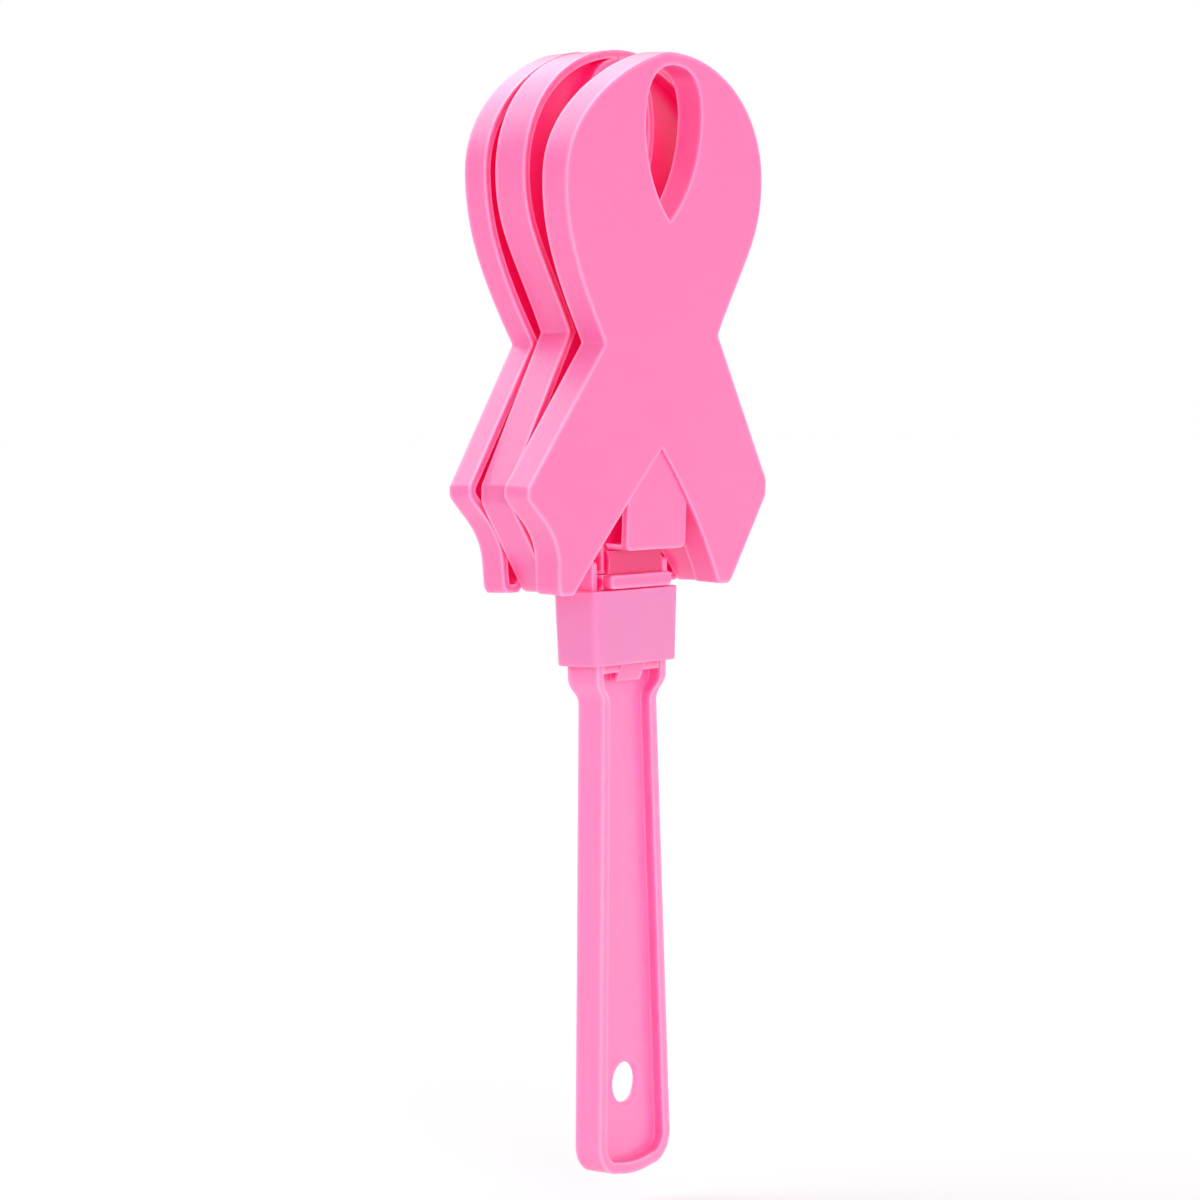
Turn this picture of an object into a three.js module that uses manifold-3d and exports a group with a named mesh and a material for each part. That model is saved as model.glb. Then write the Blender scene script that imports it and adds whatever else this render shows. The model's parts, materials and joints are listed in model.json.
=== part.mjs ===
// Hand clapper with three leaves in the shape of a crossed-tail ribbon on a long flat handle.
// The outer leaves hang on thin moulded hinge webs and slap against the fixed middle leaf.
// Millimetres, +Z along the handle, +X across the leaves, the front leaf on the -Y side.
// The origin is the middle of the hand's hold on the grip.

import * as THREE from 'three';
import { mergeVertices } from 'three/addons/utils/BufferGeometryUtils.js';
import Module from 'manifold-3d';

const wasm = await Module();
wasm.setup();

// Clearance between pieces that meet, and how far a cutter runs past what it cuts
const FIT_GAP = 0.3;
const CUT_MARGIN = 5;

// Grip: a long flat bar, a little wider towards its lower end, hollowed on both faces
const GRIP_BELOW_HOLD = 60.8;
const GRIP_ABOVE_HOLD = 58;
const GRIP_TOP_WIDTH = 22.4;
const GRIP_END_WIDTH = 30.2;
const GRIP_DEPTH = 7.8;
const GRIP_END_RADIUS = 7.5;
const GRIP_END_CROWN = 0.8;
const GRIP_LIP = 2.8;
const GRIP_FLOOR = 2;
const GRIP_EDGE_ROUND = 0.6;

// Hang hole near the lower end, with a raised ring on both faces of the floor
const HOLE_ABOVE_END = 22.5;
const HOLE_RADIUS = 5.1;
const HOLE_RING_WIDTH = 1.3;
const HOLE_RING_RISE = 0.3;

// Head of the handle: two cheeks that hold the tangs, reached over an ogee shoulder
const SHOULDER_HEIGHT = 7;
const CHEEK_ABOVE_BAR = 3.4;
const HEAD_WIDTH = 28.8;
const HEAD_DEPTH = 9.4;
const CHEEK_STEP_OUT = 1.6;
const CHEEK_JOIN = 4;
const CHEEK_THICKNESS = 2.3;
const CHEEK_TOP_RADIUS = 1.1;

// Collar pushed down over the head, a little narrower outside at its lower rim
const COLLAR_ABOVE_SHOULDER = 3.1;
const COLLAR_HEIGHT = 18.8;
const COLLAR_WALL = 1.3;
const COLLAR_DRAFT = 0.5;
const COLLAR_CORNER_RADIUS = 2.4;
const COLLAR_EDGE_ROUND = 0.35;

// Tangs of the leaves, stacked inside the collar, each outer one with a spine that ends in a snap tongue
const TANG_THICKNESS = 3.9;
const TANG_RECESS = 0.8;
const TANG_BELOW_COLLAR = 2;
const TONGUE_WIDTH = 10;
const TONGUE_LENGTH = 2.4;
const TONGUE_TIP_THICKNESS = 2;
const MIDDLE_TANG_THICKNESS = 1.8;

// Stop bar across each outer tang, resting on the collar
const BAR_END_GAP = 1;
const BAR_HEIGHT = 3.5;
const BAR_PROJECTION = 2.9;
const BAR_END_RADIUS = 1.2;
const BAR_EDGE_ROUND = 0.4;

// Hinge web between each stop bar and its leaf, drawn in at the middle of its height
const WEB_THICKNESS = 1;
const WEB_INSET = 1.2;
const WEB_WAIST = 0.5;

// Leaves: one outline, mirrored on the middle leaf, with a higher crown on the two further ones
const LEAF_ABOVE_COLLAR = 0.4;
const LEAF_HEIGHT = 132.35;
const LEAF_THICKNESS = 7.4;
const LEAF_SKIN = 2;
const LEAF_RIM = 2;
const LEAF_EDGE_ROUND = 0.8;
const MIDDLE_LEAF_THICKNESS = 8.9;
const MIDDLE_LEAF_SKIN = 1.9;
const MIDDLE_LEAF_RISE = 0.9;
const MIDDLE_LEAF_X = -0.6;
const BACK_LEAF_THICKNESS = 6.4;
const BACK_LEAF_RISE = 1.25;
const BACK_FOOT_LEFT = -51.3;
const MIDDLE_TAIL_RIGHT = 31.9;

// Loop of the ribbon
const LOOP_CROWN = 31.25;
const LOOP_RIGHT = 40.2;
const LOOP_LEFT = -41.9;
const LOOP_TOP_X = -1.2;
const NECK_RIGHT = new THREE.Vector2(23.1, 63.3);
const NECK_LEFT = new THREE.Vector2(-24.1, 60.7);
const NECK_RIGHT_SLOPE = THREE.MathUtils.degToRad(29);
const NECK_LEFT_SLOPE = THREE.MathUtils.degToRad(35.5);

// Fullness of the loop's curves, as shares of the width, the crown and the fall to the neck
const LOOP_LEFT_FULLNESS = { top: 0.18, crown: 0.62, fall: 0.33, neck: 0.51 };
const BACK_LOOP_LEFT_FULLNESS = { ...LOOP_LEFT_FULLNESS, top: 0.3 };
const LOOP_RIGHT_FULLNESS = { top: 0.58, crown: 0.56, fall: 0.36, neck: 0.58 };

// Tails: the right one is cut straight, the left one has a hollow cut
const FOOT_TOP = 26.25;
const FOOT_RIGHT = 47.4;
const FOOT_RIGHT_FLAT = 4.2;
const FOOT_LEFT = -52.6;
const FOOT_LEFT_FLAT = 2.4;
const TAIL_RIGHT = 33.1;
const TAIL_RIGHT_RISE = 0.6;
const TAIL_RIGHT_INNER = 28;
const TAIL_LEFT_HOLLOW = new THREE.Vector2(-39.5, 5.2);
const TAIL_LEFT_OUTER = new THREE.Vector2(-39.1, 1.3);
const TAIL_LEFT_INNER = -33.6;
const TAIL_CORNER = 1.2;
const NOTCH_X = 0.8;
const NOTCH_TOP = 35;

// Bends of the hollow cut and of the notch, as shares of the distance that each curve spans
const HOLLOW_START = new THREE.Vector2(0.43, 0.3);
const HOLLOW_FINISH = new THREE.Vector2(1.02, 0.45);
const NOTCH_LEFT_BEND = new THREE.Vector2(0.64, 0.38);
const NOTCH_RIGHT_BEND = new THREE.Vector2(0.59, 0.57);

// Drop-shaped window in the loop, close under the loop's top
const WINDOW_BELOW_TOP = 3.15;
const WINDOW_HEIGHT = 38.2;
const WINDOW_WIDTH = 23.5;
const WINDOW_X = 0.8;

// Where the window is widest, and the fullness of its curves, as shares of its height and width
const WINDOW_WIDEST = 0.65;
const WINDOW_CROWN_FULLNESS = { rise: 0.66, width: 0.68 };
const WINDOW_TIP_FULLNESS = { fall: 0.48, tip: 0.17, width: 0.44 };

// Tab between the tails: a plate with a shelf along its lower edge, which the web carries
const TAB_WIDTH = 25;
const TAB_X = 1;
const TAB_ABOVE_TAILS = 9.75;
const TAB_STEP = 0.75;
const TAB_SKIN = 1.8;
const TAB_SHELF = 1.5;
const TAB_CORNER_RADIUS = 2;
const TAB_EDGE_ROUND = 0.5;

// How far each outer leaf leans away from the middle leaf at rest
const FRONT_LEAN = THREE.MathUtils.degToRad(3.4);
const BACK_LEAN = THREE.MathUtils.degToRad(1.1);

// Facets of a curve, of an edge rounding and of the hang hole
const CURVE_STEPS = 10;
const ROUND_STEPS = 2;
const HOLE_STEPS = 32;

// Levels along the handle
const GRIP_END_Z = -GRIP_BELOW_HOLD;
const HOLE_Z = GRIP_END_Z + HOLE_ABOVE_END;
const SHOULDER_TOP_Z = GRIP_ABOVE_HOLD + SHOULDER_HEIGHT;
const COLLAR_BOTTOM_Z = SHOULDER_TOP_Z + COLLAR_ABOVE_SHOULDER;
const COLLAR_TOP_Z = COLLAR_BOTTOM_Z + COLLAR_HEIGHT;
const FLOOR_TOP_Z = COLLAR_BOTTOM_Z - FIT_GAP;
const TANG_BOTTOM_Z = COLLAR_BOTTOM_Z - TANG_BELOW_COLLAR;
const BAR_BOTTOM_Z = COLLAR_TOP_Z + FIT_GAP;
const BAR_TOP_Z = BAR_BOTTOM_Z + BAR_HEIGHT;
const HEAD_TOP_Z = BAR_TOP_Z + CHEEK_ABOVE_BAR;
const CHEEK_BOTTOM_Z = COLLAR_BOTTOM_Z + FIT_GAP;
const CHEEK_JOIN_Z = CHEEK_BOTTOM_Z + CHEEK_JOIN;
const LEAF_BOTTOM_Z = COLLAR_TOP_Z + LEAF_ABOVE_COLLAR;

// Heights on a leaf, above its lower edge
const LOOP_WIDEST = LEAF_HEIGHT - LOOP_CROWN;
const WINDOW_TOP = LEAF_HEIGHT - WINDOW_BELOW_TOP;
const WINDOW_TIP = WINDOW_TOP - WINDOW_HEIGHT;

// Half widths across the handle
const HEAD_HALF = HEAD_WIDTH / 2;
const SLOT_HALF = HEAD_HALF - CHEEK_THICKNESS;
const TANG_HALF = SLOT_HALF - FIT_GAP;
const CHEEKS_HALF = HEAD_HALF + CHEEK_STEP_OUT;
const BAR_HALF = CHEEKS_HALF - CHEEK_THICKNESS - BAR_END_GAP;

// Levels in depth, counted from the middle plane outwards on either side
const FLOOR_FACE = GRIP_FLOOR / 2;
const TANG_INNER = FLOOR_FACE + FIT_GAP;
const TANG_OUTER = TANG_INNER + TANG_THICKNESS;
const CHEEK_FACE = HEAD_DEPTH / 2;
const MIDDLE_FACE = MIDDLE_LEAF_THICKNESS / 2;
const LEAF_INNER = MIDDLE_FACE + FIT_GAP;
const BAR_INNER = CHEEK_FACE + FIT_GAP;
const BAR_OUTER = TANG_OUTER + BAR_PROJECTION;
const WEB_INNER = BAR_INNER + FIT_GAP / 3;

const FRONT = -1;
const BACK = 1;

// Axes of a profile drawn in x and height and extruded towards -Y
const DRAWN_UPRIGHT = new THREE.Matrix4().makeBasis(
  new THREE.Vector3(1, 0, 0),
  new THREE.Vector3(0, 0, 1),
  new THREE.Vector3(0, -1, 0),
);

// Axes of a profile drawn in depth and height and extruded towards +X
const DRAWN_SIDEWAYS = new THREE.Matrix4().makeBasis(
  new THREE.Vector3(0, 1, 0),
  new THREE.Vector3(0, 0, 1),
  new THREE.Vector3(1, 0, 0),
);

// Closed solid of a three.js geometry, ready for joining and cutting
function solidOf(geometry) {
  const bare = geometry.clone();
  bare.deleteAttribute('normal');
  bare.deleteAttribute('uv');
  const merged = mergeVertices(bare, 1e-5);
  const mesh = new wasm.Mesh({
    numProp: 3,
    vertProperties: new Float32Array(merged.attributes.position.array),
    triVerts: new Uint32Array(merged.index.array),
  });
  return new wasm.Manifold(mesh);
}

// Named mesh of a solid, in the plastic of the clapper
function meshOf(name, solid, color = 0xfa87b9) {
  const { vertProperties, triVerts } = solid.getMesh();
  const geometry = new THREE.BufferGeometry();
  geometry.setAttribute('position', new THREE.BufferAttribute(vertProperties, 3));
  geometry.setIndex(new THREE.BufferAttribute(triVerts, 1));
  geometry.computeVertexNormals();
  const gloss = { roughness: 0.34, metalness: 0 };
  const material = new THREE.MeshStandardMaterial({ color, flatShading: true, ...gloss });
  const mesh = new THREE.Mesh(geometry, material);
  mesh.name = name;
  return mesh;
}

// Block between two corners
function block(low, high) {
  const size = new THREE.Vector3().subVectors(high, low);
  const middle = new THREE.Vector3().addVectors(low, high).multiplyScalar(0.5);
  const geometry = new THREE.BoxGeometry(size.x, size.y, size.z);
  geometry.translate(middle.x, middle.y, middle.z);
  return solidOf(geometry);
}

// Plate of an upright outline between two depths, with both edges rounded by the same radius
function plate(shape, depthA, depthB, round = 0) {
  const low = Math.min(depthA, depthB);
  const thickness = Math.abs(depthB - depthA);
  const geometry = new THREE.ExtrudeGeometry(shape, {
    depth: thickness - 2 * round,
    curveSegments: CURVE_STEPS,
    bevelEnabled: round > 0,
    bevelThickness: round,
    bevelSize: round,
    bevelOffset: -round,
    bevelSegments: ROUND_STEPS,
  });
  geometry.translate(0, 0, round);
  geometry.applyMatrix4(DRAWN_UPRIGHT);
  geometry.translate(0, low + thickness, 0);
  return solidOf(geometry);
}

// Plate whose edge is rounded at its outer depth only, the inner edge staying sharp
function facedPlate(shape, side, inner, outer, round) {
  const spare = inner - 3 * round;
  const rounded = plate(shape, side * spare, side * outer, round);
  const reach = 4 * LEAF_HEIGHT;
  const depths = [side * inner, side * (spare - CUT_MARGIN)].sort((a, b) => a - b);
  const low = new THREE.Vector3(-reach, depths[0], -reach);
  const high = new THREE.Vector3(reach, depths[1], reach);
  return rounded.subtract(block(low, high));
}

// Bar of a profile in depth and height, reaching a half width to either side
function sidewaysBar(profile, halfWidth) {
  const geometry = new THREE.ExtrudeGeometry(profile, {
    depth: 2 * halfWidth,
    curveSegments: CURVE_STEPS,
    bevelEnabled: false,
  });
  geometry.translate(0, 0, -halfWidth);
  geometry.applyMatrix4(DRAWN_SIDEWAYS);
  return solidOf(geometry);
}

// Ring of outline points moved into the shape by a distance, with mitred corners
function insetRing(points, distance) {
  const ring = THREE.ShapeUtils.isClockWise(points) ? [...points].reverse() : [...points];
  if (ring[0].distanceTo(ring[ring.length - 1]) < 1e-6) {
    ring.pop();
  }
  return ring.map((point, index) => {
    const before = ring[(index + ring.length - 1) % ring.length];
    const after = ring[(index + 1) % ring.length];
    const incoming = new THREE.Vector2().subVectors(point, before).normalize();
    const outgoing = new THREE.Vector2().subVectors(after, point).normalize();
    const inward = new THREE.Vector2(-incoming.y - outgoing.y, incoming.x + outgoing.x).normalize();
    const spread = inward.y * incoming.x - inward.x * incoming.y;
    return point.clone().addScaledVector(inward, distance / spread);
  });
}

// Rectangle from its middle, with four corners of one radius
function roundedRectangle(halfWidth, halfHeight, radius) {
  const path = new THREE.Shape();
  const x = halfWidth - radius;
  const y = halfHeight - radius;
  const quarter = Math.PI / 2;
  path.absarc(x, y, radius, 0, quarter, false);
  path.absarc(-x, y, radius, quarter, 2 * quarter, false);
  path.absarc(-x, -y, radius, 2 * quarter, 3 * quarter, false);
  path.absarc(x, -y, radius, 3 * quarter, 4 * quarter, false);
  path.closePath();
  return path;
}

// Full width of the grip at a height, on the straight taper of its sides
function gripWidth(z) {
  const along = (GRIP_ABOVE_HOLD - z) / (GRIP_ABOVE_HOLD - GRIP_END_Z);
  return THREE.MathUtils.lerp(GRIP_TOP_WIDTH, GRIP_END_WIDTH, along);
}

// Places on one side of the handle's outline, drawn in by an inset for the hollow
function handleSide(inset, endRadius, topHalf) {
  const cornerZ = GRIP_END_Z + GRIP_END_CROWN + inset + endRadius;
  const bottomHalf = gripWidth(cornerZ) / 2 - inset;
  const neckHalf = GRIP_TOP_WIDTH / 2 - inset;
  return { cornerZ, bottomHalf, neckHalf, topHalf, endRadius };
}

// Closed outline of the handle, or of the hollow in it, from the sides' values
function handleOutline(side, endZ, topZ, topRadius) {
  const { cornerZ, bottomHalf, neckHalf, topHalf, endRadius } = side;
  const bendZ = (GRIP_ABOVE_HOLD + SHOULDER_TOP_Z) / 2;
  const quarter = Math.PI / 2;
  const cornerX = bottomHalf - endRadius;
  const shape = new THREE.Shape();
  shape.moveTo(-cornerX, cornerZ - endRadius);
  shape.quadraticCurveTo(0, 2 * endZ - cornerZ + endRadius, cornerX, cornerZ - endRadius);
  shape.absarc(cornerX, cornerZ, endRadius, 3 * quarter, 4 * quarter, false);
  shape.lineTo(neckHalf, GRIP_ABOVE_HOLD);
  shape.bezierCurveTo(neckHalf, bendZ, topHalf, bendZ, topHalf, SHOULDER_TOP_Z);
  shape.absarc(topHalf - topRadius, topZ - topRadius, topRadius, 0, quarter, false);
  shape.absarc(topRadius - topHalf, topZ - topRadius, topRadius, quarter, 2 * quarter, false);
  shape.lineTo(-topHalf, SHOULDER_TOP_Z);
  shape.bezierCurveTo(-topHalf, bendZ, -neckHalf, bendZ, -neckHalf, GRIP_ABOVE_HOLD);
  shape.lineTo(-bottomHalf, cornerZ);
  shape.absarc(-cornerX, cornerZ, endRadius, 2 * quarter, 3 * quarter, false);
  return shape;
}

// Space that the head may fill, seen from the side: the grip's depth swells over the shoulder
function headDepth() {
  const bendZ = (GRIP_ABOVE_HOLD + SHOULDER_TOP_Z) / 2;
  const grip = GRIP_DEPTH / 2;
  const profile = new THREE.Shape();
  profile.moveTo(-grip, GRIP_ABOVE_HOLD);
  profile.lineTo(grip, GRIP_ABOVE_HOLD);
  profile.bezierCurveTo(grip, bendZ, CHEEK_FACE, bendZ, CHEEK_FACE, SHOULDER_TOP_Z);
  profile.lineTo(CHEEK_FACE, HEAD_TOP_Z);
  profile.lineTo(-CHEEK_FACE, HEAD_TOP_Z);
  profile.lineTo(-CHEEK_FACE, SHOULDER_TOP_Z);
  profile.bezierCurveTo(-CHEEK_FACE, bendZ, -grip, bendZ, -grip, GRIP_ABOVE_HOLD);
  return sidewaysBar(profile, HEAD_HALF);
}

// Cheek: upright strip at one edge of the head, set further out than the shoulder, inside the collar
function makeCheek(side) {
  const outline = roundedRectangle(CHEEK_THICKNESS / 2, (HEAD_TOP_Z - CHEEK_BOTTOM_Z) / 2, CHEEK_TOP_RADIUS);
  const middle = (HEAD_TOP_Z + CHEEK_BOTTOM_Z) / 2;
  const cheek = plate(outline, -CHEEK_FACE, CHEEK_FACE, GRIP_EDGE_ROUND);
  return cheek.translate([side * (CHEEKS_HALF - CHEEK_THICKNESS / 2), 0, middle]);
}

// Handle: flat bar hollowed on both faces, open between the two cheeks, with the ringed hang hole
function makeHandle() {
  const outer = handleSide(0, GRIP_END_RADIUS, HEAD_HALF);
  const outline = handleOutline(outer, GRIP_END_Z, CHEEK_JOIN_Z, CHEEK_TOP_RADIUS);
  let solid = plate(outline, -GRIP_DEPTH / 2, GRIP_DEPTH / 2, GRIP_EDGE_ROUND);

  const head = plate(outline, -CHEEK_FACE, CHEEK_FACE, GRIP_EDGE_ROUND);
  solid = solid.add(head.intersect(headDepth())).add(makeCheek(1)).add(makeCheek(-1));

  const inner = handleSide(GRIP_LIP, GRIP_END_RADIUS - GRIP_LIP, SLOT_HALF);
  const hollow = handleOutline(inner, GRIP_END_Z + GRIP_LIP, HEAD_TOP_Z + CUT_MARGIN, CHEEK_TOP_RADIUS);
  const ring = new THREE.Shape();
  ring.absarc(0, HOLE_Z, HOLE_RADIUS + HOLE_RING_WIDTH, 0, 2 * Math.PI, false);
  const ringFace = FLOOR_FACE + HOLE_RING_RISE;
  for (const side of [FRONT, BACK]) {
    solid = solid.subtract(plate(hollow, side * FLOOR_FACE, side * (CHEEK_FACE + CUT_MARGIN)));
    solid = solid.add(plate(ring, 0, side * ringFace));
  }

  const slotLow = new THREE.Vector3(-SLOT_HALF, -CHEEK_FACE - CUT_MARGIN, FLOOR_TOP_Z);
  const slotHigh = new THREE.Vector3(SLOT_HALF, CHEEK_FACE + CUT_MARGIN, HEAD_TOP_Z + CUT_MARGIN);
  solid = solid.subtract(block(slotLow, slotHigh));

  const hole = new THREE.CylinderGeometry(HOLE_RADIUS, HOLE_RADIUS, GRIP_DEPTH + CUT_MARGIN, HOLE_STEPS);
  hole.translate(0, 0, HOLE_Z);
  return meshOf('handle', solid.subtract(solidOf(hole)));
}

// Upright bar of a rounded rectangle with softly rounded ends, the upper end wider by a draft
function roundedBar(halfWidth, halfDepth, radius, height, draft = 0) {
  const round = COLLAR_EDGE_ROUND;
  const shape = roundedRectangle(halfWidth, halfDepth, radius);
  const geometry = new THREE.ExtrudeGeometry(shape, {
    depth: height - 2 * round,
    curveSegments: CURVE_STEPS / 2,
    bevelThickness: round,
    bevelSize: round,
    bevelOffset: -round,
    bevelSegments: ROUND_STEPS,
  });
  geometry.translate(0, 0, round);
  const points = geometry.attributes.position;
  for (let index = 0; index < points.count; index += 1) {
    const grow = (draft * (2 * points.getZ(index) - height)) / (2 * height);
    points.setX(index, points.getX(index) * (1 + grow / halfWidth));
    points.setY(index, points.getY(index) * (1 + grow / halfDepth));
  }
  return solidOf(geometry);
}

// Collar: rounded rectangular tube round the head and the tangs
function makeCollar() {
  const innerHalf = CHEEKS_HALF + FIT_GAP;
  const innerDepth = TANG_OUTER + FIT_GAP;
  const innerRadius = COLLAR_CORNER_RADIUS - COLLAR_WALL;
  const outerHalf = innerHalf + COLLAR_WALL;
  const outerDepth = innerDepth + COLLAR_WALL;
  const cutHeight = COLLAR_HEIGHT + 2 * CUT_MARGIN;
  const outer = roundedBar(outerHalf, outerDepth, COLLAR_CORNER_RADIUS, COLLAR_HEIGHT, COLLAR_DRAFT);
  const bore = roundedBar(innerHalf, innerDepth, innerRadius, cutHeight).translate([0, 0, -CUT_MARGIN]);
  return meshOf('collar', outer.subtract(bore).translate([0, 0, COLLAR_BOTTOM_Z]));
}

// Spine on a tang's outer face, sloping from the collar's lower rim to the tip of the snap tongue
function makeSpine(side) {
  const tipZ = TANG_BOTTOM_Z - TONGUE_LENGTH;
  const profile = new THREE.Shape();
  profile.moveTo(side * TANG_INNER, tipZ);
  profile.lineTo(side * (TANG_INNER + TONGUE_TIP_THICKNESS), tipZ);
  profile.lineTo(side * TANG_OUTER, COLLAR_BOTTOM_Z);
  profile.lineTo(side * TANG_OUTER, BAR_TOP_Z);
  profile.lineTo(side * TANG_INNER, BAR_TOP_Z);
  return sidewaysBar(profile, TONGUE_WIDTH / 2);
}

// Outer tang: the flat root of an outer leaf's moulding, with its stop bar, spine and snap tongue
function makeTang(name, side) {
  const profile = new THREE.Shape();
  profile.moveTo(side * TANG_INNER, TANG_BOTTOM_Z);
  profile.lineTo(side * (TANG_OUTER - TANG_RECESS), TANG_BOTTOM_Z);
  profile.lineTo(side * (TANG_OUTER - TANG_RECESS), BAR_BOTTOM_Z);
  profile.lineTo(side * TANG_OUTER, BAR_BOTTOM_Z);
  profile.lineTo(side * TANG_OUTER, BAR_TOP_Z);
  profile.lineTo(side * TANG_INNER, BAR_TOP_Z);
  const root = sidewaysBar(profile, BAR_HALF);
  const besideLow = new THREE.Vector3(TANG_HALF, -BAR_OUTER, TANG_BOTTOM_Z - CUT_MARGIN);
  const besideHigh = new THREE.Vector3(BAR_HALF + CUT_MARGIN, BAR_OUTER, CHEEK_JOIN_Z + FIT_GAP);
  const beside = block(besideLow, besideHigh);
  const narrowed = root.subtract(beside).subtract(beside.mirror([1, 0, 0]));

  const bar = roundedRectangle(BAR_HALF, BAR_HEIGHT / 2, BAR_END_RADIUS);
  const barSolid = facedPlate(bar, side, BAR_INNER, BAR_OUTER, BAR_EDGE_ROUND);
  const barMiddle = (BAR_BOTTOM_Z + BAR_TOP_Z) / 2;
  return meshOf(name, narrowed.add(barSolid.translate([0, 0, barMiddle])).add(makeSpine(side)));
}

// Hinge web: thin strip from the stop bar to the tab, drawn in at the middle of its height
function makeWeb(name, side) {
  const half = BAR_HALF - WEB_INSET;
  const lean = side === FRONT ? FRONT_LEAN : BACK_LEAN;
  const bottom = BAR_TOP_Z + FIT_GAP;
  const thickness = side === FRONT ? LEAF_THICKNESS : BACK_LEAF_THICKNESS;
  const tabDrop = (thickness - TAB_STEP) * Math.sin(lean);
  const top = LEAF_BOTTOM_Z + TAB_ABOVE_TAILS * Math.cos(lean) - tabDrop - FIT_GAP;
  const middle = (bottom + top) / 2;
  const waist = half - 2 * WEB_WAIST;
  const shape = new THREE.Shape();
  shape.moveTo(-half, bottom);
  shape.lineTo(half, bottom);
  shape.quadraticCurveTo(waist, middle, half, top);
  shape.lineTo(-half, top);
  shape.quadraticCurveTo(-waist, middle, -half, bottom);
  return meshOf(name, plate(shape, side * WEB_INNER, side * (WEB_INNER + WEB_THICKNESS)));
}

// Ribbon outline of one leaf from its lower edge at height 0: mirror -1 swaps right and left
function leafOutline({ mirror, topZ, footLeft, tailRight, leftFullness }) {
  const shape = new THREE.Shape();
  const line = (x, y) => shape.lineTo(mirror * x, y);
  const curve = (ax, ay, bx, by, x, y) => {
    shape.bezierCurveTo(mirror * ax, ay, mirror * bx, by, mirror * x, y);
  };
  const bend = (ax, ay, x, y) => shape.quadraticCurveTo(mirror * ax, ay, mirror * x, y);
  const left = loopHandles(LOOP_LEFT, NECK_LEFT, -NECK_LEFT_SLOPE, leftFullness, topZ);
  const right = loopHandles(LOOP_RIGHT, NECK_RIGHT, NECK_RIGHT_SLOPE, LOOP_RIGHT_FULLNESS, topZ);
  const hollowTop = new THREE.Vector2(footLeft, FOOT_TOP - FOOT_LEFT_FLAT);
  const hollowSpan = new THREE.Vector2().subVectors(TAIL_LEFT_HOLLOW, hollowTop);
  const hollowA = hollowSpan.clone().multiply(HOLLOW_START).add(hollowTop);
  const hollowB = hollowSpan.clone().multiply(HOLLOW_FINISH).add(hollowTop);

  shape.moveTo(mirror * LOOP_TOP_X, topZ);
  curve(left.topX, topZ, LOOP_LEFT, left.crownY, LOOP_LEFT, LOOP_WIDEST);
  curve(LOOP_LEFT, left.fallY, left.neck.x, left.neck.y, NECK_LEFT.x, NECK_LEFT.y);
  line(footLeft, FOOT_TOP);
  line(hollowTop.x, hollowTop.y);
  curve(hollowA.x, hollowA.y, hollowB.x, hollowB.y, TAIL_LEFT_HOLLOW.x, TAIL_LEFT_HOLLOW.y);
  line(TAIL_LEFT_OUTER.x, TAIL_LEFT_OUTER.y);
  line(TAIL_LEFT_OUTER.x + TAIL_CORNER, 0);
  line(TAIL_LEFT_INNER, 0);
  bend(NOTCH_LEFT_BEND.x * TAIL_LEFT_INNER, NOTCH_LEFT_BEND.y * NOTCH_TOP, NOTCH_X, NOTCH_TOP);
  bend(NOTCH_RIGHT_BEND.x * TAIL_RIGHT_INNER, NOTCH_RIGHT_BEND.y * NOTCH_TOP, TAIL_RIGHT_INNER, 0);
  line(tailRight - TAIL_CORNER, 0);
  line(tailRight, TAIL_RIGHT_RISE);
  line(FOOT_RIGHT, FOOT_TOP - FOOT_RIGHT_FLAT);
  line(FOOT_RIGHT, FOOT_TOP);
  line(NECK_RIGHT.x, NECK_RIGHT.y);
  curve(right.neck.x, right.neck.y, LOOP_RIGHT, right.fallY, LOOP_RIGHT, LOOP_WIDEST);
  curve(LOOP_RIGHT, right.crownY, right.topX, topZ, LOOP_TOP_X, topZ);
  return shape;
}

// Bezier handles of one side of the loop, from its top over its widest point to its neck
function loopHandles(reach, neck, slope, fullness, topZ) {
  const fall = LOOP_WIDEST - neck.y;
  const pull = fullness.neck * fall;
  return {
    topX: THREE.MathUtils.lerp(LOOP_TOP_X, reach, fullness.top),
    crownY: THREE.MathUtils.lerp(LOOP_WIDEST, topZ, fullness.crown),
    fallY: LOOP_WIDEST - fullness.fall * fall,
    neck: new THREE.Vector2(neck.x + pull * Math.sin(slope), neck.y + pull * Math.cos(slope)),
  };
}

// Drop-shaped window, pointed at its lower tip
function windowPath(mirror) {
  const path = new THREE.Path();
  const x = mirror * WINDOW_X;
  const half = WINDOW_WIDTH / 2;
  const widest = WINDOW_TIP + WINDOW_WIDEST * WINDOW_HEIGHT;
  const crown = widest + WINDOW_CROWN_FULLNESS.rise * (WINDOW_TOP - widest);
  const crownX = WINDOW_CROWN_FULLNESS.width * half;
  const fall = widest - WINDOW_TIP_FULLNESS.fall * (widest - WINDOW_TIP);
  const tip = WINDOW_TIP + WINDOW_TIP_FULLNESS.tip * (widest - WINDOW_TIP);
  const tipX = WINDOW_TIP_FULLNESS.width * half;
  path.moveTo(x, WINDOW_TIP);
  path.bezierCurveTo(x + tipX, tip, x + half, fall, x + half, widest);
  path.bezierCurveTo(x + half, crown, x + crownX, WINDOW_TOP, x, WINDOW_TOP);
  path.bezierCurveTo(x - crownX, WINDOW_TOP, x - half, crown, x - half, widest);
  path.bezierCurveTo(x - half, fall, x - tipX, tip, x, WINDOW_TIP);
  return path;
}

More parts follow.
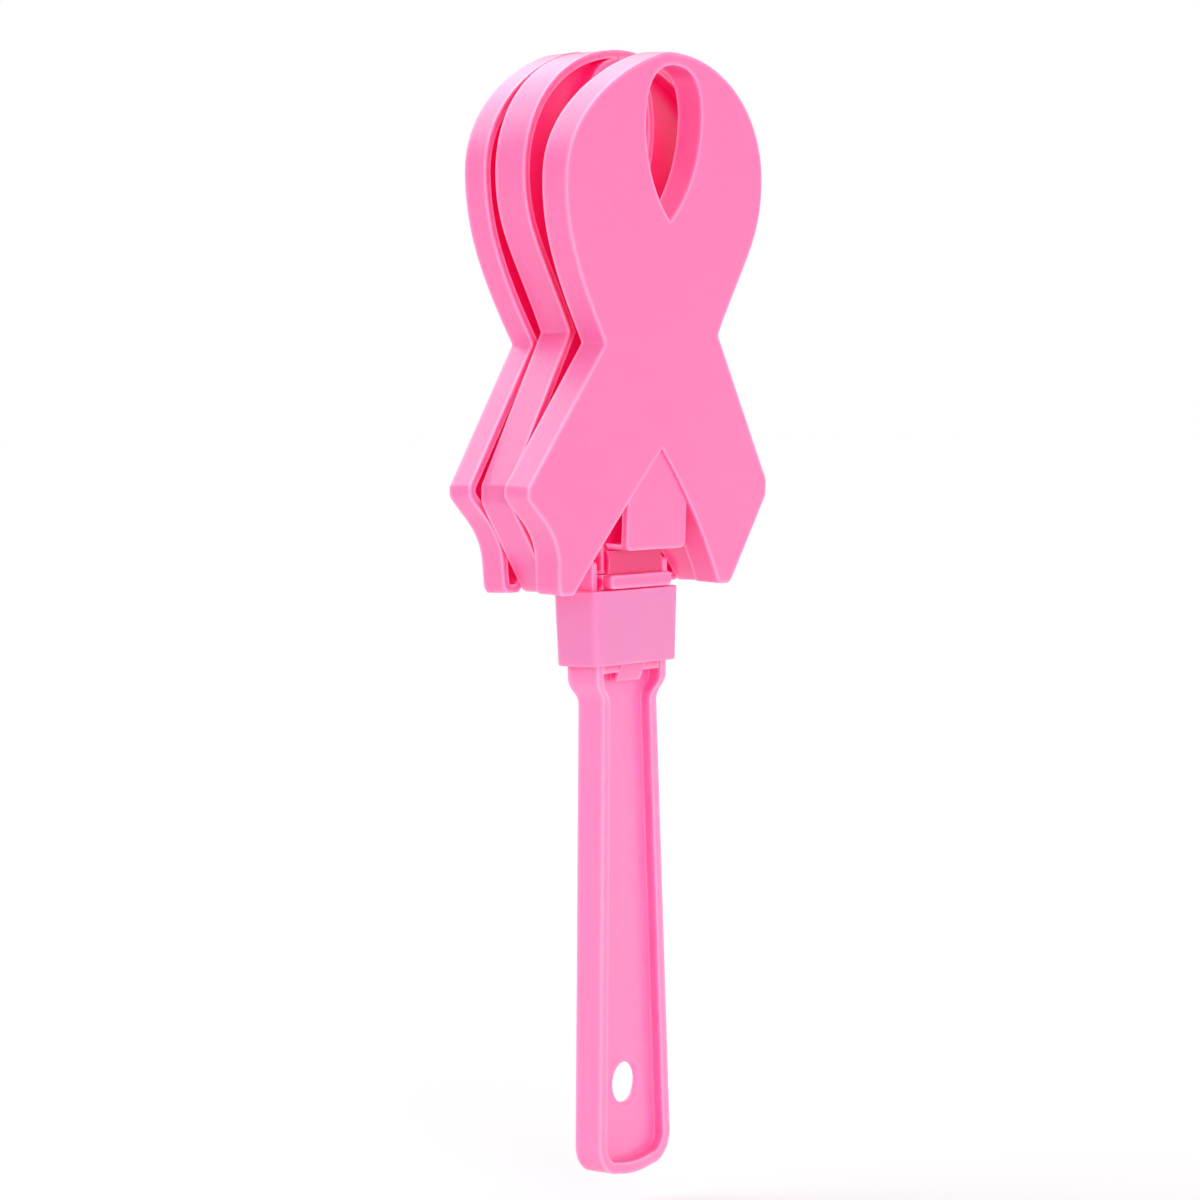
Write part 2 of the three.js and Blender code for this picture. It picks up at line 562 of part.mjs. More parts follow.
// Hollow of a leaf between two depths: the ribbon drawn in by the rim, less the window's wall
function leafHollow(form, depthA, depthB) {
  const ribbon = new THREE.Shape(insetRing(leafOutline(form).getPoints(CURVE_STEPS), LEAF_RIM));
  const wall = new THREE.Shape(insetRing(windowPath(form.mirror).getPoints(CURVE_STEPS), -LEAF_RIM));
  return plate(ribbon, depthA, depthB).subtract(plate(wall, depthA, depthB));
}

// Tab between the tails: a plate with rounded lower corners, and the shelf along its lower edge
function makeTab(side, thickness) {
  const radius = TAB_CORNER_RADIUS;
  const quarter = Math.PI / 2;
  const left = TAB_X - TAB_WIDTH / 2;
  const right = TAB_X + TAB_WIDTH / 2;
  const shape = new THREE.Shape();
  shape.moveTo(right, NOTCH_TOP);
  shape.lineTo(left, NOTCH_TOP);
  shape.absarc(left + radius, TAB_ABOVE_TAILS + radius, radius, 2 * quarter, 3 * quarter, false);
  shape.absarc(right - radius, TAB_ABOVE_TAILS + radius, radius, 3 * quarter, 4 * quarter, false);
  const outer = LEAF_INNER + thickness - TAB_STEP;
  const depths = [side * (LEAF_INNER - CUT_MARGIN), side * (outer - TAB_SKIN)].sort((a, b) => a - b);
  const low = new THREE.Vector3(left - CUT_MARGIN, depths[0], TAB_ABOVE_TAILS + TAB_SHELF);
  const high = new THREE.Vector3(right + CUT_MARGIN, depths[1], NOTCH_TOP + CUT_MARGIN);
  return facedPlate(shape, side, LEAF_INNER, outer, TAB_EDGE_ROUND).subtract(block(low, high));
}

// Outer leaf: a tray open towards the middle leaf, with the tab between its tails.
// It is drawn closed against the middle leaf, its lower inner edge on the hinge axis.
function makeOuterLeaf(name, side, form) {
  const outer = LEAF_INNER + form.thickness;
  const outline = leafOutline(form);
  outline.holes.push(windowPath(form.mirror));
  const tray = facedPlate(outline, side, LEAF_INNER, outer, LEAF_EDGE_ROUND);
  const hollow = leafHollow(form, side * (LEAF_INNER - CUT_MARGIN), side * (outer - LEAF_SKIN));
  const tab = makeTab(side, form.thickness);
  const solid = tray.subtract(hollow).add(tab).translate([0, -side * LEAF_INNER, 0]);

  const mesh = meshOf(name, solid);
  const group = new THREE.Group();
  group.position.set(0, side * LEAF_INNER, LEAF_BOTTOM_Z);
  group.rotation.x = side === FRONT ? FRONT_LEAN : -BACK_LEAN;
  group.add(mesh);
  return group;
}

// Middle leaf: hollowed on both faces, on a stem that thins into the tang between the outer tangs
function makeMiddleLeaf(form) {
  const outline = leafOutline(form);
  outline.holes.push(windowPath(-1));
  let solid = plate(outline, -MIDDLE_FACE, MIDDLE_FACE, LEAF_EDGE_ROUND);
  for (const side of [FRONT, BACK]) {
    const depths = [side * MIDDLE_LEAF_SKIN / 2, side * (MIDDLE_FACE + CUT_MARGIN)];
    solid = solid.subtract(leafHollow(form, ...depths));
  }
  solid = solid.translate([MIDDLE_LEAF_X, 0, LEAF_BOTTOM_Z]);

  const stemBottom = BAR_TOP_Z + FIT_GAP;
  const joinTop = LEAF_BOTTOM_Z + NOTCH_TOP;
  const stemLow = new THREE.Vector3(-TANG_HALF, -MIDDLE_FACE, stemBottom);
  const stemHigh = new THREE.Vector3(TANG_HALF, MIDDLE_FACE, joinTop);
  const tangLow = new THREE.Vector3(-TANG_HALF, -MIDDLE_TANG_THICKNESS / 2, FLOOR_TOP_Z + FIT_GAP);
  const tangHigh = new THREE.Vector3(TANG_HALF, MIDDLE_TANG_THICKNESS / 2, joinTop);
  solid = solid.add(block(stemLow, stemHigh)).add(block(tangLow, tangHigh));
  return meshOf('middle_leaf', solid);
}

// What differs from leaf to leaf
const frontForm = {
  mirror: 1,
  topZ: LEAF_HEIGHT,
  footLeft: FOOT_LEFT,
  tailRight: TAIL_RIGHT,
  leftFullness: LOOP_LEFT_FULLNESS,
  thickness: LEAF_THICKNESS,
};
const middleForm = {
  ...frontForm,
  mirror: -1,
  topZ: LEAF_HEIGHT + MIDDLE_LEAF_RISE,
  tailRight: MIDDLE_TAIL_RIGHT,
};
const backForm = {
  ...frontForm,
  topZ: LEAF_HEIGHT + BACK_LEAF_RISE,
  footLeft: BACK_FOOT_LEFT,
  leftFullness: BACK_LOOP_LEFT_FULLNESS,
  thickness: BACK_LEAF_THICKNESS,
};

// Whole clapper
const clapper = new THREE.Group();
clapper.name = 'hand_clapper';
clapper.add(makeHandle());
clapper.add(makeCollar());
clapper.add(makeMiddleLeaf(middleForm));
clapper.add(makeTang('front_tang', FRONT));
clapper.add(makeTang('back_tang', BACK));
clapper.add(makeWeb('front_hinge_web', FRONT));
clapper.add(makeWeb('back_hinge_web', BACK));
clapper.add(makeOuterLeaf('front_leaf', FRONT, frontForm));
clapper.add(makeOuterLeaf('back_leaf', BACK, backForm));

export default clapper;
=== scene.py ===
"""Hand clapper: the finished look of its mouldings, their pink plastic, the studio and the camera.

Sizes in the classes are millimetres, as on the drawing of the part. Meshes are made in metres,
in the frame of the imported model: +Z along the handle, +X across the leaves, the front leaf at -Y.
"""

import json
import logging
import math
from dataclasses import dataclass, field, replace
from enum import Enum

import bmesh
import bpy
from bmesh.types import BMEdge, BMVert
from bpy.types import Material, Node, NodeSocket, NodeTree, Object
from mathutils import Matrix, Vector
from mathutils.geometry import interpolate_bezier

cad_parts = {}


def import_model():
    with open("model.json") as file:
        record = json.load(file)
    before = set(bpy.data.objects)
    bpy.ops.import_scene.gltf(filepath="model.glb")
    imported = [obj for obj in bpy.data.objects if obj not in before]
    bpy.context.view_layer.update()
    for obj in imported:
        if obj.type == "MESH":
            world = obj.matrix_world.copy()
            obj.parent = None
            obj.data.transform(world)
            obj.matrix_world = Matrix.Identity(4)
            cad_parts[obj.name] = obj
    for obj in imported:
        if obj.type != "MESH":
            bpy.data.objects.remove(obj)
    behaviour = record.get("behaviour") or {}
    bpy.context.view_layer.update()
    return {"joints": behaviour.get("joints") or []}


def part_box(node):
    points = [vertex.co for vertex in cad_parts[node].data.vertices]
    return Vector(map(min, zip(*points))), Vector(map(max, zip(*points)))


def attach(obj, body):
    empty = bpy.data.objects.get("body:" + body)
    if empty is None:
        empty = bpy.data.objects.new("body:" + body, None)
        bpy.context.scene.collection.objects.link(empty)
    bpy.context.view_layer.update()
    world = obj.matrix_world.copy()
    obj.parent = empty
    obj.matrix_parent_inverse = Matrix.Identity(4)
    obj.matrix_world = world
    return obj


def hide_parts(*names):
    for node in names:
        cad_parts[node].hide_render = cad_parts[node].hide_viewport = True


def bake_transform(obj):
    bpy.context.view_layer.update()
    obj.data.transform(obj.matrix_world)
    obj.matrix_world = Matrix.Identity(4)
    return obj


LOG = logging.getLogger("hand_clapper")

Ring = list[Vector]
Pair = tuple[float, float]
Colour = tuple[float, float, float]
Direction = tuple[float, float, float]
Inputs = dict[str | int, object]

MM = 0.001
HELD_BODY = "held_body"

# How finely curves and edge roundings are cut
LOOP_STEPS = 36
TAIL_STEPS = 14
NOTCH_STEPS = 24
CORNER_STEPS = 8
ROUND_STEPS = 4
FINE_STEPS = 3
HOLE_STEPS = 96
RIM_STEPS = 6

# Large flat faces are cut into level bands
FACE_BAND = 1.55
FACE_BANDS = 23
SHOULDER_BANDS = 16

# How strongly large faces pull the shading towards flat
AREA_WEIGHT = 50

# Edges that meet more sharply than this are creases
CREASE = math.radians(28)

# Points closer than these, in metres, are one: in a new mesh, after cuts, and on a slicing plane
SAME_POINT = 1e-7
WELD = 2e-6
SLICE_SNAP = 1e-6

# Digits that tell the points of an outline apart, and that name a corner
POINT_DIGITS = 4
CORNER_DIGITS = 2

# How far a cutter runs past what it cuts, and where its end is rounded
CUT_MARGIN = 1
FAR_MARGIN = 5

# The two flat sides of an upright plate
BOTH_WAYS = [Vector((0, -1, 0)), Vector((0, 1, 0))]


class Side(Enum):
    """Which side of the middle plane a moulding is on: the sign of its Y direction."""

    FRONT = -1
    BACK = 1

    @property
    def word(self) -> str:
        """Name of the side, as node names use it."""
        return self.name.lower()

    @property
    def outward(self) -> Vector:
        """Direction away from the middle plane."""
        return Vector((0, self.value, 0))

    def span(self, inner: float, outer: float) -> Pair:
        """Lower and higher Y of a layer that is given by its distances outwards."""
        low, high = sorted((self.value * inner, self.value * outer))
        return low, high


class Hand(Enum):
    """Which way round the ribbon outline is drawn: the sign of its X direction."""

    AS_DRAWN = 1
    MIRRORED = -1


class Rounded(Enum):
    """What a rounding works on, as the bevel operator names it."""

    EDGES = "EDGES"
    CORNERS = "VERTICES"


def at(x: float, y: float) -> Vector:
    """Point of an outline."""
    return Vector((x, y))


def bezier(start: Vector, handle_a: Vector, handle_b: Vector, end: Vector, steps: int) -> Ring:
    """Sample a cubic curve without its last point.

    Args:
        start: first point.
        handle_a: handle of the first point.
        handle_b: handle of the last point.
        end: last point, left out of the result.
        steps: number of parts.

    Returns:
        The points from start up to the one before end.
    """
    spatial = [point.to_3d() for point in (start, handle_a, handle_b, end)]
    points = interpolate_bezier(*spatial, steps + 1)
    return [point.to_2d() for point in points[:-1]]


def bend(start: Vector, handle: Vector, end: Vector, steps: int) -> Ring:
    """Sample a curve with one handle, without its last point.

    Args:
        start: first point.
        handle: the single handle.
        end: last point, left out of the result.
        steps: number of parts.

    Returns:
        The points from start up to the one before end.
    """
    pull = 2 / 3
    return bezier(start, start.lerp(handle, pull), end.lerp(handle, pull), end, steps)


def arc(centre: Vector, radius: float, start: float, finish: float, steps: int) -> Ring:
    """Sample an arc with both its ends.

    Args:
        centre: middle of the circle.
        radius: its radius.
        start: first angle in degrees, counted from the first axis.
        finish: last angle in degrees.
        steps: number of equal parts.

    Returns:
        The points of the arc.
    """
    angles = (math.radians(start + (finish - start) * step / steps) for step in range(steps + 1))
    return [centre + radius * Vector((math.cos(angle), math.sin(angle))) for angle in angles]


def rounded_rectangle(half_width: float, half_height: float, radius: float,
                      middle: Pair = (0, 0)) -> Ring:
    """Outline of a rectangle with rounded corners.

    Args:
        half_width: half its size along the first axis.
        half_height: half its size along the second axis.
        radius: corner radius.
        middle: its middle.

    Returns:
        The points of the closed outline, once round.
    """
    x = half_width - radius
    y = half_height - radius
    corners = ((x, y, 0), (-x, y, 90), (-x, -y, 180), (x, -y, 270))
    ring: Ring = []
    for corner_x, corner_y, start in corners:
        centre = at(middle[0] + corner_x, middle[1] + corner_y)
        ring += arc(centre, radius, start, start + 90, CORNER_STEPS)
    return ring


def rectangle(half_width: float, low: float, high: float) -> Ring:
    """Outline of an upright rectangle about the middle, from its lower left corner."""
    corners = ((-half_width, low), (half_width, low), (half_width, high), (-half_width, high))
    return [Vector(corner) for corner in corners]


def offset_ring(ring: Ring, distance: float) -> Ring:
    """Move a closed outline sideways, with mitred corners.

    Args:
        ring: points of the outline, either way round.
        distance: how far inwards, or outwards if it is negative.

    Returns:
        The points of the moved outline.
    """
    count = len(ring)
    area = sum(ring[i - 1].cross(ring[i]) for i in range(count))
    turn = math.copysign(1, area)
    moved = []
    for i in range(count):
        incoming = (ring[i] - ring[i - 1]).normalized()
        outgoing = (ring[(i + 1) % count] - ring[i]).normalized()
        inward = turn * at(-incoming.y - outgoing.y, incoming.x + outgoing.x).normalized()
        spread = turn * (inward.y * incoming.x - inward.x * incoming.y)
        moved.append(ring[i] + inward * (distance / spread))
    return moved


def mirrored(ring: Ring, about: float = 0) -> Ring:
    """Points of a ring mirrored left to right, in the opposite order."""
    return [at(2 * about - point.x, point.y) for point in reversed(ring)]


def corner_name(point: Vector) -> Pair:
    """Rounded place of a corner, which finds it again."""
    return round(point.x, CORNER_DIGITS), round(point.y, CORNER_DIGITS)


def upright(point: Vector, depth: float) -> Vector:
    """Place a point of an upright outline, x and height, at a depth along Y, in metres."""
    return Vector((point.x, depth, point.y)) * MM


def level(point: Vector, height: float) -> Vector:
    """Place a point of a plan outline, x and y, at a height, in metres."""
    return Vector((point.x, point.y, height)) * MM


def put_in_scene(name: str, data: bpy.types.Mesh | bpy.types.Camera) -> Object:
    """Make an object of new data and link it to the scene."""
    made = bpy.data.objects.new(name, data)
    bpy.context.scene.collection.objects.link(made)
    return made


class Solid:
    """A closed mesh in the making, from a flat face drawn out to a thickness."""

    def __init__(self, name: str) -> None:
        """Start an empty mesh under a name."""
        self.name = name
        self.bm = bmesh.new()

    def draw_upright(self, rings: list[Ring], depth: float) -> None:
        """Draw flat faces in an upright plane, sharing the points that they have in common.

        Args:
            rings: outlines of the faces.
            depth: Y of the plane, in millimetres.
        """
        shared: dict[Pair, BMVert] = {}
        for ring in rings:
            corners = []
            for point in ring:
                key = (round(point.x, POINT_DIGITS), round(point.y, POINT_DIGITS))
                if key not in shared:
                    shared[key] = self.bm.verts.new(upright(point, depth))
                if not corners or corners[-1] is not shared[key]:
                    corners.append(shared[key])
            if corners[0] is corners[-1]:
                corners.pop()
            self.bm.faces.new(corners)

    def draw_plan(self, ring: Ring, height: float) -> None:
        """Draw one flat face in a level plane, at a height in millimetres."""
        self.bm.faces.new([self.bm.verts.new(level(point, height)) for point in ring])

    def soften_corners(self, radius: float, keep: set[Pair], sharper: float) -> None:
        """Round the sharp corners of flat faces before they are drawn out.

        Args:
            radius: how far a rounding reaches along the sides, in millimetres.
            keep: rounded x and height of corners that stay sharp.
            sharper: corners that turn by more than this angle are rounded.
        """
        corners = []
        for vert in self.bm.verts:
            border = [edge for edge in vert.link_edges if edge.is_boundary]
            place = corner_name(vert.co.xz / MM)
            if len(border) != 2 or place in keep:
                continue
            sides = [edge.other_vert(vert).co - vert.co for edge in border]
            if math.pi - sides[0].angle(sides[1]) > sharper:
                corners.append(vert)
        self.bevel(corners, radius, Rounded.CORNERS)

    def bevel(self, geom: list[BMVert | BMEdge], radius: float, rounded: Rounded = Rounded.EDGES,
              steps: int = ROUND_STEPS) -> None:
        """Round corners or edges.

        Args:
            geom: the vertices or the edges.
            radius: how far a rounding reaches along the sides, in millimetres.
            rounded: which of the two is rounded.
            steps: number of segments across the rounding.
        """
        bmesh.ops.bevel(
            self.bm,
            geom=geom,
            offset=radius * MM,
            offset_type="OFFSET",
            segments=steps,
            profile=0.5,
            affect=rounded.value,
            clamp_overlap=rounded is Rounded.EDGES,
            material=-1,
        )

    def slice_level(self, low: float, high: float, parts: int) -> None:
        """Cut the mesh at level planes, so that its faces stay simple or it can bend.

        Args:
            low: height of the first plane, in millimetres.
            high: height of the last plane.
            parts: number of equal parts between them.
        """
        for part in range(parts + 1):
            height = low + (high - low) * part / parts
            bmesh.ops.bisect_plane(
                self.bm,
                geom=[*self.bm.verts, *self.bm.edges, *self.bm.faces],
                dist=SLICE_SNAP,
                plane_co=Vector((0, 0, height)) * MM,
                plane_no=Vector((0, 0, 1)),
            )

    def draw_out(self, reach: Vector) -> None:
        """Draw every flat face out along a vector in millimetres, into a closed solid."""
        made = bmesh.ops.extrude_face_region(self.bm, geom=list(self.bm.faces), use_keep_orig=True)
        verts = [item for item in made["geom"] if isinstance(item, BMVert)]
        bmesh.ops.translate(self.bm, vec=reach * MM, verts=verts)
        bmesh.ops.recalc_face_normals(self.bm, faces=list(self.bm.faces))

    def creases(self) -> list[BMEdge]:
        """Edges at which two faces meet sharply."""
        paired = [edge for edge in self.bm.edges if len(edge.link_faces) == 2]
        return [edge for edge in paired if edge.calc_face_angle(0) > CREASE]

    def soften_rims(self, radius: float, toward: list[Vector], steps: int = ROUND_STEPS) -> None:
        """Round the edges where faces that look along given directions end.

        Args:
            radius: radius of the rounding, in millimetres.
            toward: outward directions of the faces whose rims are rounded.
            steps: number of segments across the rounding.
        """
        almost = 0.999
        rims = []
        for edge in self.creases():
            flat = [any(face.normal.dot(way) > almost for way in toward) for face in edge.link_faces]
            if flat[0] != flat[1]:
                rims.append(edge)
        self.bevel(rims, radius, steps=steps)

    def finish(self) -> Object:
        """Turn the mesh into an object at the origin.

        Returns:
            The new object, in the scene.
        """
        bmesh.ops.remove_doubles(self.bm, verts=list(self.bm.verts), dist=SAME_POINT)
        bmesh.ops.recalc_face_normals(self.bm, faces=list(self.bm.faces))
        mesh = bpy.data.meshes.new(self.name)
        self.bm.to_mesh(mesh)
        self.bm.free()
        return put_in_scene(self.name, mesh)


def plate(name: str, rings: list[Ring], depths: Pair, softened: float = 0) -> Object:
    """Make an upright plate between two depths, its rims rounded on both faces.

    Args:
        name: name of the object.
        rings: outlines of its face.
        depths: lower and higher Y, in millimetres.
        softened: radius of the rims, 0 for sharp ones.

    Returns:
        The new object.
    """
    low, high = depths
    solid = Solid(name)
    solid.draw_upright(rings, low)
    solid.draw_out(Vector((0, high - low, 0)))
    if softened:
        solid.soften_rims(softened, BOTH_WAYS)
    return solid.finish()


class Joining(Enum):
    """How one solid is worked into another."""

    CUT = "DIFFERENCE"
    JOIN = "UNION"


def work_in(piece: Object, tool: Object, joining: Joining) -> None:
    """Cut or join a piece with a tool, which is used up.

    Args:
        piece: the object that is changed.
        tool: the object that cuts or joins it.
        joining: which of the two.
    """
    modifier = piece.modifiers.new(joining.name.lower(), "BOOLEAN")
    modifier.operation = joining.value
    modifier.solver = "MANIFOLD"
    modifier.object = tool
    bake_modifiers(piece)
    mesh = tool.data
    bpy.data.objects.remove(tool)
    bpy.data.meshes.remove(mesh)


def bake_modifiers(piece: Object) -> None:
    """Put the result of a piece's modifiers into its mesh and drop them."""
    shaped = piece.evaluated_get(bpy.context.evaluated_depsgraph_get())
    mesh = bpy.data.meshes.new_from_object(shaped)
    old = piece.data
    piece.modifiers.clear()
    piece.data = mesh
    mesh.name = piece.name
    bpy.data.meshes.remove(old)


def tidy_mesh(piece: Object) -> None:
    """Merge the doubles that cutting leaves, dissolve its slivers and turn the faces outwards."""
    bm = bmesh.new()
    bm.from_mesh(piece.data)
    bmesh.ops.remove_doubles(bm, verts=list(bm.verts), dist=WELD)
    bmesh.ops.dissolve_degenerate(bm, edges=list(bm.edges), dist=WELD)
    loose = [edge for edge in bm.edges if not edge.link_faces]
    bmesh.ops.delete(bm, geom=loose, context="EDGES")
    bmesh.ops.recalc_face_normals(bm, faces=list(bm.faces))
    bm.to_mesh(piece.data)
    bm.free()


def dress(piece: Object, plastic: Material) -> None:
    """Give a piece its one material."""
    piece.data.materials.clear()
    piece.data.materials.append(plastic)


def soft_shading(piece: Object, edge: float = 0) -> None:
    """Shade a piece smoothly with flat faces kept flat, and round the edges that are left.

    Args:
        piece: the object.
        edge: radius of the rounding on the remaining sharp edges, in millimetres, 0 for none.
    """
    for face in piece.data.polygons:
        face.use_smooth = True
    if edge:
        rounding = piece.modifiers.new("edge_rounding", "BEVEL")
        rounding.width = edge * MM
        rounding.segments = FINE_STEPS
        rounding.limit_method = "ANGLE"
        rounding.angle_limit = CREASE
        rounding.use_clamp_overlap = True
        rounding.miter_outer = "MITER_ARC"
    else:
        piece.data.set_sharp_from_angle(angle=CREASE)
    weighting = piece.modifiers.new("flat_faces", "WEIGHTED_NORMAL")
    weighting.mode = "FACE_AREA"
    weighting.weight = AREA_WEIGHT
    weighting.keep_sharp = True


@dataclass(frozen=True)
class Fullness:
    """How full one side of the ribbon's loop is, as shares of the lengths that its curves span."""

    top: float
    crown: float
    fall: float
    neck: float


@dataclass(frozen=True)
class LoopSide:
    """One side of the ribbon's loop, from its widest point down to its neck."""

    reach: float
    neck: Pair
    slope: float
    fullness: Fullness

    def handles(self, top: Vector, widest: float) -> dict[str, Vector]:
        """Curve handles of this side.

        Args:
            top: highest point of the loop.
            widest: height of the widest point.

        Returns:
            The handles by name.
        """
        neck = Vector(self.neck)
        crown = top.y - widest
        fall = widest - neck.y
        pull = self.fullness.neck * fall
        slope = math.radians(self.slope)
        return {
            "top": at(top.x + self.fullness.top * (self.reach - top.x), top.y),
            "crown": at(self.reach, widest + self.fullness.crown * crown),
            "fall": at(self.reach, widest - self.fullness.fall * fall),
            "neck": neck + pull * Vector((math.sin(slope), math.cos(slope))),
        }


@dataclass(frozen=True)
class RibbonShape:
    """Outline of a leaf: a crossed-tail ribbon with a drop-shaped window in its loop.

    Heights are above the leaf's lower edge. The outline is drawn one way round, then mirrored by
    the leaf's hand and moved aside.
    """

    hand: Hand = Hand.AS_DRAWN
    aside: float = 0
    height: float = 132.35
    widest: float = 101.1
    top_x: float = -1.2
    right: LoopSide = LoopSide(40.2, (23.1, 63.3), 29, Fullness(0.58, 0.56, 0.36, 0.58))
    left: LoopSide = LoopSide(-41.9, (-24.1, 60.7), -35.5, Fullness(0.18, 0.62, 0.33, 0.51))
    foot_top: float = 26.25
    foot_right: float = 47.4
    foot_right_flat: float = 4.2
    foot_left: float = -52.6
    foot_left_flat: float = 2.4
    right_corner: Pair = (33.1, 0.6)
    right_inner: float = 28
    left_hollow: Pair = (-39.5, 5.2)
    left_corner: Pair = (-39.1, 1.3)
    left_inner: float = -33.6
    corner_cut: float = 1.2
    notch: Pair = (0.8, 35)
    hollow_start: Pair = (0.43, 0.3)
    hollow_finish: Pair = (1.02, 0.45)
    notch_left_bend: Pair = (0.64, 0.38)
    notch_right_bend: Pair = (0.59, 0.57)
    window_x: float = 0.8
    window_top: float = 129.2
    window_height: float = 38.2
    window_width: float = 23.5
    window_widest: float = 0.65
    tip_width: float = 0.44
    tip_rise: float = 0.17
    side_fall: float = 0.48
    side_rise: float = 0.66
    top_width: float = 0.68

    @property
    def top(self) -> Vector:
        """Highest point of the loop, as drawn."""
        return at(self.top_x, self.height)

    @property
    def apex(self) -> Vector:
        """Highest point of the notch between the tails, as drawn."""
        return Vector(self.notch)

    @property
    def window_tip(self) -> Vector:
        """Lowest point of the window, as drawn."""
        return at(self.window_x, self.window_top - self.window_height)

    def placed(self, ring: Ring) -> Ring:
        """Ring as it stands on the leaf: mirrored by its hand and moved aside."""
        return [at(self.hand.value * point.x + self.aside, point.y) for point in ring]

    def sharp_points(self) -> set[Pair]:
        """Places of the corners that stay sharp: the notch's apex and the window's tip."""
        return {corner_name(point) for point in self.placed([self.apex, self.window_tip])}

    def left_half(self) -> Ring:
        """Outline from the top down the left side to the notch's apex, which is left out."""
        widest = at(self.left.reach, self.widest)
        neck = Vector(self.left.neck)
        handles = self.left.handles(self.top, self.widest)
        hollow_top = at(self.foot_left, self.foot_top - self.foot_left_flat)
        hollow_end = Vector(self.left_hollow)
        span = hollow_end - hollow_top
        start = hollow_top + at(span.x * self.hollow_start[0], span.y * self.hollow_start[1])
        finish = hollow_top + at(span.x * self.hollow_finish[0], span.y * self.hollow_finish[1])
        corner = Vector(self.left_corner)
        inner = at(self.left_inner, 0)
        notch = at(self.notch_left_bend[0] * inner.x, self.notch_left_bend[1] * self.apex.y)
        ring = bezier(self.top, handles["top"], handles["crown"], widest, LOOP_STEPS)
        ring += bezier(widest, handles["fall"], handles["neck"], neck, LOOP_STEPS)
        ring += [neck, at(self.foot_left, self.foot_top)]
        ring += bezier(hollow_top, start, finish, hollow_end, TAIL_STEPS)
        ring += [hollow_end, corner, at(corner.x + self.corner_cut, 0)]
        ring += bend(inner, notch, self.apex, NOTCH_STEPS)
        return ring

    def right_half(self) -> Ring:
        """Outline from the notch's apex up the right side to the top, which is left out."""
        widest = at(self.right.reach, self.widest)
        neck = Vector(self.right.neck)
        handles = self.right.handles(self.top, self.widest)
        corner = Vector(self.right_corner)
        inner = at(self.right_inner, 0)
        notch = at(self.notch_right_bend[0] * inner.x, self.notch_right_bend[1] * self.apex.y)
        ring = bend(self.apex, notch, inner, NOTCH_STEPS)
        ring += [inner, at(corner.x - self.corner_cut, 0), corner]
        ring += [at(self.foot_right, self.foot_top - self.foot_right_flat)]
        ring += [at(self.foot_right, self.foot_top)]
        ring += bezier(neck, handles["neck"], handles["fall"], widest, LOOP_STEPS)
        ring += bezier(widest, handles["crown"], handles["top"], self.top, LOOP_STEPS)
        return ring

    def window_half(self) -> Ring:
        """Window's left side, from its lower tip up to its top, both with it."""
        half = self.window_width / 2
        tip = self.window_tip
        peak = at(self.window_x, self.window_top)
        side = at(self.window_x - half, tip.y + self.window_widest * self.window_height)
        rise = peak.y - side.y
        fall = side.y - tip.y
        tip_handle = tip + at(-self.tip_width * half, self.tip_rise * fall)
        fall_handle = side - at(0, self.side_fall * fall)
        rise_handle = side + at(0, self.side_rise * rise)
        top_handle = peak - at(self.top_width * half, 0)
        ring = bezier(tip, tip_handle, fall_handle, side, NOTCH_STEPS)
        ring += bezier(side, rise_handle, top_handle, peak, NOTCH_STEPS)
        return [*ring, peak]

    def window_other_half(self) -> Ring:
        """Window's right side, from its top down to its lower tip, both with it."""
        return mirrored(self.window_half(), self.window_x)

    def faces(self) -> list[Ring]:
        """The leaf's face as two halves that meet above and below the window."""
        left = [*self.left_half(), self.apex, *self.window_half()]
        right = [*self.right_half(), self.top, *self.window_other_half()]
        return [self.placed(left), self.placed(right)]

    def outline(self) -> Ring:
        """The whole outline without the window."""
        return self.placed([*self.left_half(), *self.right_half()])

    def window(self) -> Ring:
        """The window's whole outline."""
        return self.placed([*self.window_half(), *self.window_other_half()[1:-1]])


def leaf_hollow(shape: RibbonShape, rim: float, depths: Pair) -> Object:
    """Make the cutter of a leaf's hollow: the ribbon drawn in by its rim, less the window's wall.

    Args:
        shape: outline of the leaf.
        rim: width of the rim and of the wall round the window.
        depths: lower and higher Y of the hollow.

    Returns:
        The cutter.
    """
    past = (depths[0] - CUT_MARGIN, depths[1] + CUT_MARGIN)
    cutter = plate("hollow", [offset_ring(shape.outline(), rim)], depths)
    wall = plate("window_wall", [offset_ring(shape.window(), -rim)], past)
    work_in(cutter, wall, Joining.CUT)
    return cutter


def fill(tree: NodeTree, node: Node, inputs: Inputs) -> None:
    """Link the inputs of a node that are given a socket, and set the others.

    Args:
        tree: the nodes and links.
        node: the node.
        inputs: socket or value of each input, by name or number.
    """
    for name, value in inputs.items():
        if isinstance(value, NodeSocket):
            tree.links.new(value, node.inputs[name])
        else:
            node.inputs[name].default_value = value


def add_node(tree: NodeTree, kind: str, output: str, inputs: Inputs, **settings: object) -> NodeSocket:
    """Add a node.

    Args:
        tree: the nodes and links.
        kind: the node's type.
        output: name of the output that is wanted.
        inputs: socket or value of each input.
        settings: the node's settings, made before its inputs are filled.

    Returns:
        The output's socket.
    """
    node = tree.nodes.new(kind)
    for name, value in settings.items():
        setattr(node, name, value)
    fill(tree, node, inputs)
    return node.outputs[output]


def smooth_share(tree: NodeTree, value: NodeSocket, start: float, end: float, top: float = 1) -> NodeSocket:
    """Add a smooth run from 0, where a value is at its start, to a top at its end."""
    ends = {"Value": value, "From Min": start, "From Max": end, "To Max": top}
    return add_node(tree, "ShaderNodeMapRange", "Result", ends, interpolation_type="SMOOTHSTEP")


